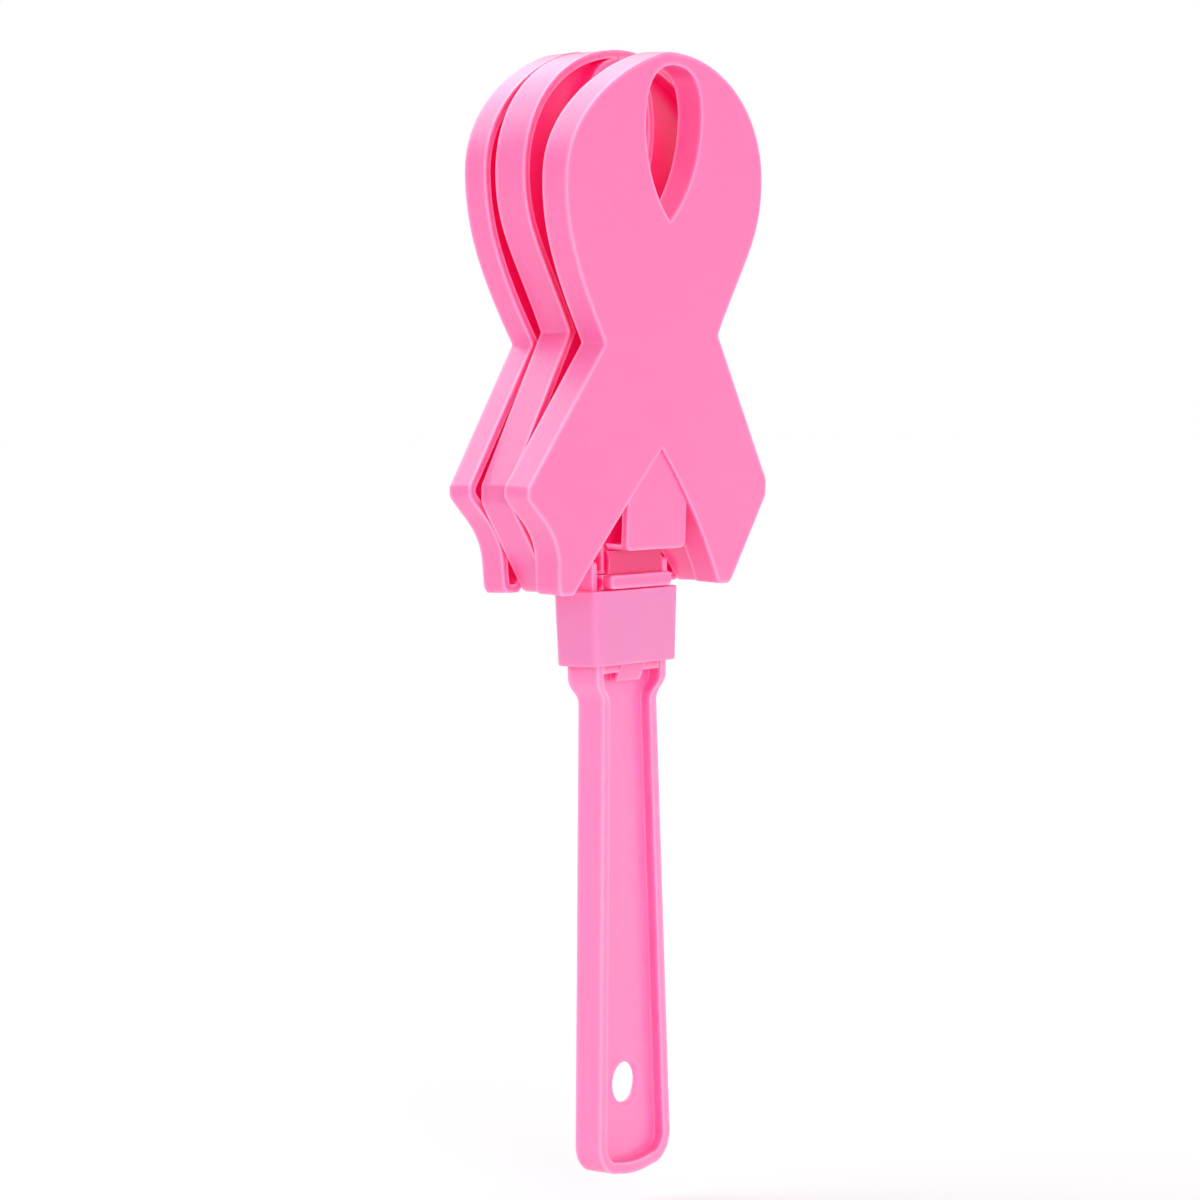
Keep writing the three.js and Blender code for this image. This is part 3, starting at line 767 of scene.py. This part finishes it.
def mixed(tree: NodeTree, share: NodeSocket, first: NodeSocket | tuple, second: Colour) -> NodeSocket:
    """Add a mix of two colours by the share of the second."""
    colours = {"Factor": share, "A": first, "B": (*second, 1)}
    return add_node(tree, "ShaderNodeMix", "Result", colours, data_type="RGBA")


@dataclass(frozen=True)
class PinkPlastic:
    """Injection-moulded plastic with a soft gloss and a faintly wavy skin.

    Edges are painted paler, a painted highlight, and recesses a deeper red, painted shade; an even red
    emission adds painted light. Its reaches and heights are metres.
    """

    name: str
    colour: Colour = (0.81, 0.195, 0.45)
    deep_colour: Colour = (0.8, 0.18, 0.43)
    # Painted highlight: edges are mixed towards this paler pink where inside occlusion finds little plastic
    edge_colour: Colour = (0.92, 0.38, 0.62)
    edge_reach: float = 0.0012
    edge_thin: float = 0.6
    edge_thick: float = 0.9
    # Painted shade: places that occlusion finds closed in are mixed towards this deeper red
    recess_colour: Colour = (0.88, 0.02, 0.2)
    recess_reach: float = 0.03
    recess_open: float = 0.75
    recess_closed: float = 0.25
    recess_samples: int = 4
    edge_samples: int = 5
    # Painted light: an even red emission over the whole surface, so that gaps in shade look lit
    dye_colour: Colour = (1, 0, 0.24)
    dye_strength: float = 0.1
    roughness: float = 0.34
    roughness_spread: float = 0.05
    specular: float = 0.5
    glow: float = 0.8
    glow_reach: float = 0.003
    glow_spread: Colour = (1.0, 0.12, 0.25)
    coat: float = 0.5
    coat_roughness: float = 0.25
    wave_size: float = 28.0
    wave_detail: float = 3
    wave_height: float = 0.00004
    grain_size: float = 1400.0
    grain_detail: float = 2
    grain_height: float = 0.0000025

    def make(self) -> Material:
        """Build the node material.

        Returns:
            The new material.
        """
        material = bpy.data.materials.new(self.name)
        material.use_nodes = True
        tree = material.node_tree
        place = add_node(tree, "ShaderNodeTexCoord", "Object", {})
        waves = {"Vector": place, "Scale": self.wave_size, "Detail": self.wave_detail}
        cloud = add_node(tree, "ShaderNodeTexNoise", "Fac", waves)
        grains = {"Vector": place, "Scale": self.grain_size, "Detail": self.grain_detail}
        grain = add_node(tree, "ShaderNodeTexNoise", "Fac", grains)

        tint = mixed(tree, cloud, (*self.colour, 1), self.deep_colour)
        # Painted shade: a deeper red in recesses and in the gaps between parts
        around = {"Distance": self.recess_reach}
        room = add_node(tree, "ShaderNodeAmbientOcclusion", "AO", around, samples=self.recess_samples)
        closed = smooth_share(tree, room, self.recess_open, self.recess_closed)
        shaded_tint = mixed(tree, closed, tint, self.recess_colour)
        # Painted highlight: a paler pink on edges, where inside occlusion finds little plastic
        within = {"Distance": self.edge_reach}
        inward = {"inside": True, "only_local": True, "samples": self.edge_samples}
        depth = add_node(tree, "ShaderNodeAmbientOcclusion", "AO", within, **inward)
        highlight_share = smooth_share(tree, depth, self.edge_thick, self.edge_thin)

        low, high = self.roughness - self.roughness_spread, self.roughness + self.roughness_spread
        spread = {"Value": cloud, "To Min": low, "To Max": high}
        relief = {"Strength": 1, "Distance": self.wave_height, "Height": cloud}
        wave = add_node(tree, "ShaderNodeBump", "Normal", relief)
        fine = {"Strength": 1, "Distance": self.grain_height, "Height": grain, "Normal": wave}
        looks = {
            "Base Color": mixed(tree, highlight_share, shaded_tint, self.edge_colour),
            "Roughness": add_node(tree, "ShaderNodeMapRange", "Result", spread),
            "Normal": add_node(tree, "ShaderNodeBump", "Normal", fine),
            "Specular IOR Level": self.specular,
            "Subsurface Weight": self.glow,
            "Subsurface Scale": self.glow_reach,
            "Subsurface Radius": self.glow_spread,
            # Painted light: the plastic glows faintly red though it is no lamp
            "Emission Color": (*self.dye_colour, 1),
            "Emission Strength": self.dye_strength,
            "Coat Weight": self.coat,
            "Coat Roughness": self.coat_roughness,
        }
        fill(tree, tree.nodes["Principled BSDF"], looks)
        return material


@dataclass
class OuterLeaf:
    """Front or back leaf: a tray open towards the middle leaf, with a tab between its tails.

    Its lean is in degrees, and its hinge is a point on the joint's axis, in metres.
    """

    side: Side
    shape: RibbonShape
    plastic: Material
    lean: float
    hinge: Vector
    thickness: float
    skin: float = 2
    rim: float = 2
    edge_round: float = 0.8
    inner_round: float = 0.5
    corner_round: float = 0.6
    tab_x: float = 1
    tab_width: float = 25
    tab_bottom: float = 9.75
    tab_step: float = 0.75
    tab_skin: float = 1.8
    tab_shelf: float = 1.5
    tab_corner: float = 2
    tab_round: float = 0.5

    def face_plate(self, name: str, rings: list[Ring], outer: float, softened: float,
                   corners: float = 0) -> Object:
        """Make a layer of the leaf whose outer rims are rounded.

        Args:
            name: name of the object.
            rings: outlines of its face.
            outer: how far it reaches outwards from the leaf's inner plane.
            softened: radius of the outer rims.
            corners: radius of the outline's own corners.

        Returns:
            The new object.
        """
        solid = Solid(name)
        solid.draw_upright(rings, 0)
        if corners:
            solid.soften_corners(corners, self.shape.sharp_points(), CREASE / 2)
            solid.slice_level(FACE_BAND, self.shape.height - FACE_BAND, FACE_BANDS)
        solid.draw_out(self.side.outward * outer)
        solid.soften_rims(softened, [self.side.outward])
        if corners:
            solid.soften_rims(self.inner_round, [-self.side.outward], FINE_STEPS)
        return solid.finish()

    def tab(self) -> Object:
        """Make the tab: a plate between the tails with a shelf along its lower edge.

        Returns:
            The tab, standing alone.
        """
        left = self.tab_x - self.tab_width / 2
        right = self.tab_x + self.tab_width / 2
        radius = self.tab_corner
        bottom = self.tab_bottom
        top = self.shape.apex.y
        outer = self.thickness - self.tab_step
        ring = [at(right, top), at(left, top)]
        ring += arc(at(left + radius, bottom + radius), radius, 180, 270, CORNER_STEPS)
        ring += arc(at(right - radius, bottom + radius), radius, 270, 360, CORNER_STEPS)
        tab = self.face_plate("tab", [ring], outer, self.tab_round)
        hollow = rectangle(right + FAR_MARGIN, bottom + self.tab_shelf, top + FAR_MARGIN)
        depths = self.side.span(-CUT_MARGIN, outer - self.tab_skin)
        work_in(tab, plate("tab_hollow", [hollow], depths), Joining.CUT)
        return tab

    def lean_over(self, piece: Object) -> None:
        """Turn a piece drawn at the hinge line to its lean, and move it to its place."""
        turn = Matrix.Rotation(-self.side.value * math.radians(self.lean), 4, "X")
        piece.data.transform(Matrix.Translation(self.hinge) @ turn)

    def build(self) -> Object:
        """Make the whole leaf.

        Returns:
            The finished leaf.
        """
        name = f"{self.side.word}_ribbon_leaf"
        faces = self.shape.faces()
        leaf = self.face_plate(name, faces, self.thickness, self.edge_round, self.corner_round)
        depths = self.side.span(-CUT_MARGIN, self.thickness - self.skin)
        work_in(leaf, leaf_hollow(self.shape, self.rim, depths), Joining.CUT)
        work_in(leaf, self.tab(), Joining.JOIN)
        tidy_mesh(leaf)
        self.lean_over(leaf)
        soft_shading(leaf)
        dress(leaf, self.plastic)
        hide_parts(f"{self.side.word}_leaf")
        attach(leaf, f"{self.side.word}_clapper")
        return leaf


@dataclass
class MiddleLeaf:
    """Fixed leaf, hollowed on both faces, on a stem that thins into a tang."""

    shape: RibbonShape
    plastic: Material
    bottom: float
    half_depth: float
    tang_bottom: float
    stem_bottom: float
    stem_half: float
    skin: float = 1.9
    tang_half_depth: float = 0.9
    rim: float = 2
    edge_round: float = 0.8
    corner_round: float = 0.6

    def build(self) -> Object:
        """Make the whole leaf.

        Returns:
            The finished leaf.
        """
        solid = Solid("middle_ribbon_leaf")
        solid.draw_upright(self.shape.faces(), -self.half_depth)
        solid.soften_corners(self.corner_round, self.shape.sharp_points(), CREASE / 2)
        solid.slice_level(FACE_BAND, self.shape.height - FACE_BAND, FACE_BANDS)
        solid.draw_out(Vector((0, 2 * self.half_depth, 0)))
        solid.soften_rims(self.edge_round, BOTH_WAYS)
        leaf = solid.finish()
        for side in Side:
            depths = side.span(self.skin / 2, self.half_depth + CUT_MARGIN)
            work_in(leaf, leaf_hollow(self.shape, self.rim, depths), Joining.CUT)
        leaf.data.transform(Matrix.Translation(Vector((0, 0, self.bottom)) * MM))
        apex = self.bottom + self.shape.apex.y
        parts = ((self.stem_bottom, self.half_depth), (self.tang_bottom, self.tang_half_depth))
        for low_z, depth in parts:
            stem = rectangle(self.stem_half, low_z, apex)
            work_in(leaf, plate("stem", [stem], (-depth, depth)), Joining.JOIN)
        tidy_mesh(leaf)
        soft_shading(leaf)
        dress(leaf, self.plastic)
        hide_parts("middle_leaf")
        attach(leaf, HELD_BODY)
        return leaf


@dataclass
class Collar:
    """Rounded rectangular sleeve round the head, a little narrower at its lower rim."""

    plastic: Material
    low: Vector
    high: Vector
    wall: float = 1.3
    draft: float = 0.5
    corner: float = 2.4
    rim_round: float = 0.45
    bore_round: float = 0.2

    def build(self) -> Object:
        """Make the collar.

        Returns:
            The finished collar.
        """
        half_width = self.high.x - self.draft / 2
        half_depth = self.high.y - self.draft / 2
        height = self.high.z - self.low.z
        middle = (self.high.z + self.low.z) / 2
        solid = Solid("collar_sleeve")
        solid.draw_plan(rounded_rectangle(half_width, half_depth, self.corner), self.low.z)
        solid.draw_out(Vector((0, 0, height)))
        for vert in solid.bm.verts:
            grow = self.draft * (vert.co.z / MM - middle) / height
            vert.co.x *= 1 + grow / half_width
            vert.co.y *= 1 + grow / half_depth
        solid.soften_rims(self.rim_round, [Vector((0, 0, -1)), Vector((0, 0, 1))])
        collar = solid.finish()
        bore = Solid("bore")
        inner = rounded_rectangle(half_width - self.wall, half_depth - self.wall, self.corner - self.wall)
        bore.draw_plan(inner, self.low.z - CUT_MARGIN)
        bore.draw_out(Vector((0, 0, height + 2 * CUT_MARGIN)))
        work_in(collar, bore.finish(), Joining.CUT)
        tidy_mesh(collar)
        soft_shading(collar, self.bore_round)
        dress(collar, self.plastic)
        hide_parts("collar")
        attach(collar, HELD_BODY)
        return collar


@dataclass
class Handle:
    """Flat bar hollowed on both faces, with the hang hole, the ogee shoulder and the two cheeks.

    The cheeks stand further apart than the shoulder, from a step inside the collar upwards.
    """

    plastic: Material
    end_z: float
    top_z: float
    cheeks_half: float
    head_depth: float
    slot_bottom: float
    cheek_bottom: float
    cheek_join: float = 4
    head_half: float = 14.4
    shoulder_bottom: float = 58
    shoulder_top: float = 65
    grip_top_half: float = 11.2
    grip_end_half: float = 15.1
    grip_depth: float = 3.9
    end_radius: float = 7.5
    end_crown: float = 0.8
    lip: float = 2.8
    floor: float = 1
    cheek_thickness: float = 2.3
    cheek_round: float = 1.1
    edge_round: float = 0.8
    hole_above_end: float = 22.5
    hole_radius: float = 5.1
    ring_width: float = 1.5
    ring_rise: float = 0.15
    ring_round: float = 0.1
    foot_round: float = 0.5
    inner_round: float = 0.5

    def grip_half(self, height: float) -> float:
        """Half width of the grip at a height."""
        along = (self.shoulder_bottom - height) / (self.shoulder_bottom - self.end_z)
        return self.grip_top_half + along * (self.grip_end_half - self.grip_top_half)

    def outline(self, inset: float, top_half: float, top_z: float, radius: float) -> Ring:
        """Outline of the handle, or of its hollow, once round.

        Args:
            inset: how far it is drawn in from the handle's sides and end.
            top_half: its half width in the head.
            top_z: where it ends at the top.
            radius: radius of its upper corners.

        Returns:
            The points of the outline.
        """
        end_radius = self.end_radius - inset
        corner_z = self.end_z + self.end_crown + inset + end_radius
        bottom_half = self.grip_half(corner_z) - inset
        corner_x = bottom_half - end_radius
        neck_half = self.grip_top_half - inset
        crown_z = 2 * (self.end_z + inset) - corner_z + end_radius
        middle = (self.shoulder_bottom + self.shoulder_top) / 2
        foot_z = corner_z - end_radius
        crown = bend(at(-corner_x, foot_z), at(0, crown_z), at(corner_x, foot_z), NOTCH_STEPS)
        shoulder = at(top_half, self.shoulder_top)
        neck = at(neck_half, self.shoulder_bottom)
        right = arc(at(corner_x, corner_z), end_radius, 270, 360, 2 * CORNER_STEPS)
        right += bezier(neck, at(neck_half, middle), at(top_half, middle), shoulder, NOTCH_STEPS)
        right += [shoulder, *arc(at(top_half - radius, top_z - radius), radius, 0, 90, CORNER_STEPS)]
        return [*crown, *right, *mirrored(right)[:-1]]

    def thin_grip(self, solid: Solid) -> None:
        """Draw the body in from the head's depth to the grip's over the shoulder."""
        solid.slice_level(self.shoulder_bottom, self.shoulder_top, SHOULDER_BANDS)
        for vert in solid.bm.verts:
            share = (vert.co.z / MM - self.shoulder_bottom) / (self.shoulder_top - self.shoulder_bottom)
            share = min(max(share, 0), 1)
            swell = share * share * (3 - 2 * share)
            depth = self.grip_depth + (self.head_depth - self.grip_depth) * swell
            vert.co.y = math.copysign(depth * MM, vert.co.y)

    def body(self) -> Object:
        """Make the body before it is hollowed.

        Returns:
            The body.
        """
        solid = Solid("handle_bar")
        ring = self.outline(0, self.head_half, self.cheek_bottom + self.cheek_join, self.cheek_round)
        solid.draw_upright([ring], -self.head_depth)
        solid.draw_out(Vector((0, 2 * self.head_depth, 0)))
        self.thin_grip(solid)
        solid.bm.normal_update()
        solid.bevel(solid.creases(), self.edge_round)
        return solid.finish()

    def cheek(self, hand: Hand) -> Object:
        """Make the upright strip at one edge of the head."""
        half = self.cheek_thickness / 2
        middle = (hand.value * (self.cheeks_half - half), (self.top_z + self.cheek_bottom) / 2)
        ring = rounded_rectangle(half, (self.top_z - self.cheek_bottom) / 2, self.cheek_round, middle)
        return plate("cheek", [ring], (-self.head_depth, self.head_depth), self.edge_round)

    def hollow(self, side: Side) -> Object:
        """Make the cutter of the hollow on one face."""
        top_half = self.head_half - self.cheek_thickness
        ring = self.outline(self.lip, top_half, self.top_z + FAR_MARGIN, self.cheek_round)
        depths = side.span(self.floor, self.head_depth + 2 * CUT_MARGIN)
        return plate("hollow", [ring], depths, self.foot_round)

    def hole_cutter(self) -> Object:
        """Make the cutter of the hang hole, flared so that the hole's rim comes out fully rounded."""
        reach = self.floor + self.ring_rise
        flared = self.hole_radius + reach
        end = reach + CUT_MARGIN
        rim = arc(at(0, 0), reach, 270, 90, 2 * RIM_STEPS)
        profile = [at(0, -end), at(flared, -end)]
        profile += [at(flared, 0) + point for point in rim]
        profile += [at(flared, end), at(0, end)]
        centre = Vector((0, 0, self.end_z + self.hole_above_end)) * MM
        solid = Solid("hole")
        verts = [solid.bm.verts.new(centre + Vector((point.x, point.y, 0)) * MM) for point in profile]
        edges = [solid.bm.edges.new(pair) for pair in zip(verts, verts[1:])]
        bmesh.ops.spin(
            solid.bm,
            geom=[*verts, *edges],
            cent=centre,
            axis=Vector((0, 1, 0)),
            angle=2 * math.pi,
            steps=HOLE_STEPS,
            use_merge=True,
        )
        return solid.finish()

    def build(self) -> Object:
        """Make the whole handle.

        Returns:
            The finished handle.
        """
        handle = self.body()
        for hand in Hand:
            work_in(handle, self.cheek(hand), Joining.JOIN)
        for side in Side:
            work_in(handle, self.hollow(side), Joining.CUT)
        centre = at(0, self.end_z + self.hole_above_end)
        ring = arc(centre, self.hole_radius + self.ring_width, 0, 360, HOLE_STEPS)
        rise = self.floor + self.ring_rise
        work_in(handle, plate("ring", [ring], (-rise, rise), self.ring_round), Joining.JOIN)
        work_in(handle, self.hole_cutter(), Joining.CUT)
        slot_half = self.head_half - self.cheek_thickness
        slot = rectangle(slot_half, self.slot_bottom, self.top_z + 2 * CUT_MARGIN)
        reach = self.head_depth + 2 * CUT_MARGIN
        work_in(handle, plate("slot", [slot], (-reach, reach)), Joining.CUT)
        tidy_mesh(handle)
        soft_shading(handle, self.inner_round)
        dress(handle, self.plastic)
        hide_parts("handle")
        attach(handle, HELD_BODY)
        return handle


@dataclass
class Tang:
    """Root of an outer leaf's moulding: the tang, its stop bar, and the spine with the snap tongue."""

    side: Side
    plastic: Material
    low: Vector
    high: Vector
    collar_bottom: float
    collar_top: float
    step_z: float
    fit: float = 0.3
    inner: float = 1.3
    thickness: float = 3.9
    recess: float = 0.8
    below_collar: float = 2
    lower_half: float = 11.8
    bar_inner: float = 5.0
    bar_corner: float = 1.2
    bar_round: float = 0.45
    spine_half: float = 5
    tongue_tip: float = 2
    overlap: float = 1
    edge_round: float = 0.25

    def spine(self) -> Object:
        """Make the raised strip that slopes from the collar's lower rim to the tip of the tongue."""
        near = 0.1
        outer = self.inner + self.thickness
        solid = Solid("spine")
        ring = rectangle(self.spine_half, self.low.z, self.high.z)
        solid.draw_upright([ring], self.side.value * self.inner)
        solid.slice_level(self.collar_bottom, self.high.z, 1)
        solid.draw_out(self.side.outward * self.thickness)
        for vert in solid.bm.verts:
            at_tip = vert.co.z < (self.low.z + near) * MM
            outside = abs(vert.co.y) > (outer - near) * MM
            if at_tip and outside:
                vert.co.y = self.side.value * (self.inner + self.tongue_tip) * MM
        return solid.finish()

    def bar(self) -> Object:
        """Make the stop bar that rests on the collar."""
        bottom = self.collar_top + self.fit
        middle = (0, (self.high.z + bottom) / 2)
        ring = rounded_rectangle(self.high.x, (self.high.z - bottom) / 2, self.bar_corner, middle)
        outer = max(abs(self.low.y), abs(self.high.y))
        return plate("bar", [ring], self.side.span(self.bar_inner, outer), self.bar_round)

    def build(self) -> Object:
        """Make the whole tang.

        Returns:
            The finished tang.
        """
        outer = self.inner + self.thickness
        recessed = self.side.span(self.inner, outer - self.recess)
        bar_bottom = self.collar_top + self.fit
        wide = rectangle(self.high.x, self.step_z, bar_bottom)
        foot = self.collar_bottom - self.below_collar
        narrow = rectangle(self.lower_half, foot, self.step_z + self.overlap)
        root = rectangle(self.high.x, bar_bottom, self.high.z)
        tang = plate(f"{self.side.word}_leaf_root", [wide], recessed)
        lower = plate("lower", [narrow], recessed)
        upper = plate("root", [root], self.side.span(self.inner, outer))
        for part in (lower, upper, self.spine(), self.bar()):
            work_in(tang, part, Joining.JOIN)
        tidy_mesh(tang)
        soft_shading(tang, self.edge_round)
        dress(tang, self.plastic)
        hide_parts(f"{self.side.word}_tang")
        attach(tang, HELD_BODY)
        return tang


@dataclass
class HingeWeb:
    """Thin strip that bends between a stop bar and the tab of its leaf."""

    side: Side
    plastic: Material
    low: Vector
    high: Vector
    waist: float = 0.5
    rows: int = 24
    root_sink: float = 0.35
    edge_round: float = 0.3

    def build(self) -> Object:
        """Make the web.

        Returns:
            The finished web.
        """
        bottom = self.low.z - self.root_sink
        top = self.high.z + self.root_sink
        right = []
        for row in range(self.rows + 1):
            share = row / self.rows
            drawn_in = self.waist * 4 * share * (1 - share)
            right.append(at(self.high.x - drawn_in, bottom + (top - bottom) * share))
        solid = Solid(f"{self.side.word}_bending_web")
        solid.draw_upright([[*right, *mirrored(right)]], self.low.y)
        row = (top - bottom) / self.rows
        solid.slice_level(bottom + row, top - row, self.rows - 2)
        solid.draw_out(Vector((0, self.high.y - self.low.y, 0)))
        solid.soften_rims(self.edge_round, BOTH_WAYS, FINE_STEPS)
        web = solid.finish()
        soft_shading(web)
        dress(web, self.plastic)
        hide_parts(f"{self.side.word}_hinge_web")
        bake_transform(web)
        return web


@dataclass(frozen=True)
class Softbox:
    """Bright soft patch of the white surround, in one direction, its core and rim in degrees."""

    toward: Direction
    core: float
    rim: float
    strength: float

    def add_to(self, tree: NodeTree, way: NodeSocket, before: NodeSocket | float) -> NodeSocket:
        """Add the patch to the brightness of the surround.

        Args:
            tree: the surround's nodes.
            way: socket with the direction that is looked at.
            before: brightness without this patch, a socket or a number.

        Returns:
            The socket with the brightness.
        """
        ways = {0: way, 1: Vector(self.toward).normalized()}
        facing = add_node(tree, "ShaderNodeVectorMath", "Value", ways, operation="DOT_PRODUCT")
        rim, core = (math.cos(math.radians(angle)) for angle in (self.rim, self.core))
        patch = smooth_share(tree, facing, rim, core, self.strength)
        return add_node(tree, "ShaderNodeMath", "Value", {0: patch, 1: before}, operation="ADD")


@dataclass
class Studio:
    """Pale floor in a white surround with large soft patches of light, in metres."""

    floor_z: float
    floor_grey: float = 0.86
    floor_roughness: float = 0.9
    floor_size: float = 20
    surround: float = 0.55
    light_bounces: int = 14
    diffuse_bounces: int = 10
    softboxes: list[Softbox] = field(default_factory=list)

    def add_floor(self) -> None:
        """Make the pale floor."""
        material = bpy.data.materials.new("pale_floor")
        material.use_nodes = True
        tree = material.node_tree
        looks = {"Base Color": (*[self.floor_grey] * 3, 1), "Roughness": self.floor_roughness}
        fill(tree, tree.nodes["Principled BSDF"], looks)
        bm = bmesh.new()
        bmesh.ops.create_grid(bm, x_segments=1, y_segments=1, size=self.floor_size)
        bmesh.ops.translate(bm, vec=Vector((0, 0, self.floor_z)), verts=list(bm.verts))
        mesh = bpy.data.meshes.new("studio_floor")
        bm.to_mesh(mesh)
        bm.free()
        floor = put_in_scene("studio_floor", mesh)
        dress(floor, material)

    def build(self) -> None:
        """Make the floor and the surround, which the camera sees as plain white."""
        world = bpy.data.worlds.new("white_surround")
        world.use_nodes = True
        tree = world.node_tree
        way = add_node(tree, "ShaderNodeTexCoord", "Generated", {})
        brightness: NodeSocket | float = self.surround
        for softbox in self.softboxes:
            brightness = softbox.add_to(tree, way, brightness)
        to_camera = add_node(tree, "ShaderNodeLightPath", "Is Camera Ray", {})
        seen = add_node(tree, "ShaderNodeMix", "Result", {"Factor": to_camera, "A": brightness, "B": 1})
        fill(tree, tree.nodes["Background"], {"Color": (1, 1, 1, 1), "Strength": seen})
        scene = bpy.context.scene
        scene.world = world
        scene.view_settings.view_transform = "Standard"
        scene.cycles.max_bounces = self.light_bounces
        scene.cycles.diffuse_bounces = self.diffuse_bounces
        self.add_floor()


@dataclass(frozen=True)
class PhotoCamera:
    """Camera that sees the clapper as the photograph does, its turns in degrees."""

    azimuth: float = -53.21
    elevation: float = 3.11
    roll: float = -0.73
    distance: float = 863.3
    focal_length: float = 103.1
    sensor: float = 36
    aim_height: float = 83.85
    aim_aside: float = -4.12

    def make(self) -> None:
        """Put the camera in the scene and make it the active one."""
        turns = (self.azimuth, self.elevation, self.roll)
        azimuth, elevation, roll = (math.radians(turn) for turn in turns)
        flat = math.cos(elevation)
        right = Vector((math.cos(azimuth), math.sin(azimuth), 0))
        back = Vector((math.sin(azimuth) * flat, -math.cos(azimuth) * flat, math.sin(elevation)))
        up = back.cross(right)
        rolled_right = math.cos(roll) * right + math.sin(roll) * up
        rolled_up = math.cos(roll) * up - math.sin(roll) * right
        aim = Vector((0, 0, self.aim_height)) + self.aim_aside * right
        place = (aim + self.distance * back) * MM
        data = bpy.data.cameras.new("photo_camera")
        data.lens = self.focal_length
        data.sensor_width = self.sensor
        camera = put_in_scene("photo_camera", data)
        turn = Matrix((rolled_right, rolled_up, back)).transposed().to_4x4()
        camera.matrix_world = Matrix.Translation(place) @ turn
        bpy.context.scene.camera = camera


def corners(node: str) -> tuple[Vector, Vector]:
    """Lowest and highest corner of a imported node, in millimetres."""
    low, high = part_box(node)
    return Vector(low) / MM, Vector(high) / MM


def hinge_place(frame: dict, joint: str) -> Vector:
    """Point on a joint's axis, in metres."""
    found = [entry for entry in frame["joints"] if entry["name"] == joint]
    return Vector(found[0]["pos_m"])


def main() -> None:
    """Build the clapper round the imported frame, then the studio and the camera."""
    logging.basicConfig(level=logging.INFO, format="%(name)s: %(message)s")
    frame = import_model()
    PhotoCamera().make()

    leaf_plastic = PinkPlastic("leaf_plastic").make()
    # Painted shade: the web's plastic is a darker copy of the leaf plastic, for the tab's shade on it
    web_plastic = PinkPlastic(
        "web_plastic",
        colour=(0.72, 0.03, 0.2),
        deep_colour=(0.7, 0.02, 0.18),
        edge_colour=(0.8, 0.2, 0.42),
        edge_reach=0.0004,
        dye_strength=0.04,
    ).make()
    handle_plastic = PinkPlastic(
        "handle_plastic",
        colour=(0.87, 0.255, 0.53),
        deep_colour=(0.86, 0.24, 0.51),
        edge_colour=(0.92, 0.4, 0.63),
        recess_colour=(0.88, 0.1, 0.36),
    ).make()
    collar_plastic = PinkPlastic(
        "collar_plastic",
        colour=(0.81, 0.24, 0.52),
        deep_colour=(0.8, 0.225, 0.5),
        edge_reach=0.0007,
        dye_strength=0.04,
    ).make()

    front_shape = RibbonShape()
    left = front_shape.left
    back_left = replace(left, neck=(-25.2, 60.7), fullness=replace(left.fullness, top=0.3))
    middle_left = replace(left, fullness=replace(left.fullness, top=0.36, crown=0.66))
    back_shape = RibbonShape(height=133.6, left=back_left, foot_left=-51.3)
    middle_shape = RibbonShape(Hand.MIRRORED, -0.6, 133.25, left=middle_left, right_corner=(31.9, 0.6))
    shapes = {Side.FRONT: front_shape, Side.BACK: back_shape}
    leans = {Side.FRONT: 3.4, Side.BACK: 1.1}
    thicknesses = {Side.FRONT: 7.35, Side.BACK: 6.38}

    fit = 0.3
    collar_low, collar_high = corners("collar")
    handle_low, handle_high = corners("handle")
    middle_low, middle_high = corners("middle_leaf")
    cheek_bottom = collar_low.z + fit
    handle = Handle(
        handle_plastic,
        end_z=handle_low.z,
        top_z=handle_high.z,
        cheeks_half=16,
        head_depth=handle_high.y,
        slot_bottom=collar_low.z - fit,
        cheek_bottom=cheek_bottom,
    )
    pieces = [handle.build(), Collar(collar_plastic, collar_low, collar_high).build()]
    for side in Side:
        hinge = hinge_place(frame, f"{side.word}_web_hinge")
        leaf = OuterLeaf(side, shapes[side], leaf_plastic, leans[side], hinge, thicknesses[side])
        low, high = corners(f"{side.word}_tang")
        step_z = cheek_bottom + handle.cheek_join + fit
        tang = Tang(side, leaf_plastic, low, high, collar_low.z, collar_high.z, step_z)
        low, high = corners(f"{side.word}_hinge_web")
        pieces += [leaf.build(), tang.build(), HingeWeb(side, web_plastic, low, high).build()]
    middle = MiddleLeaf(
        middle_shape,
        leaf_plastic,
        bottom=hinge_place(frame, "front_web_hinge").z / MM,
        half_depth=middle_high.y,
        tang_bottom=middle_low.z,
        stem_bottom=corners("front_tang")[1].z + fit,
        stem_half=11.8,
    )
    pieces.append(middle.build())
    for piece in pieces:
        LOG.info("%s: %d faces", piece.name, len(piece.data.polygons))

    softboxes = [
        Softbox((0.1, 0.6, 0.79), core=15, rim=50, strength=2),
        Softbox((-0.6, -0.78, 0.15), core=7, rim=24, strength=5.5),
    ]
    below_handle = 10
    Studio((handle_low.z - below_handle) * MM, softboxes=softboxes).build()


if __name__ == "__main__":
    main()
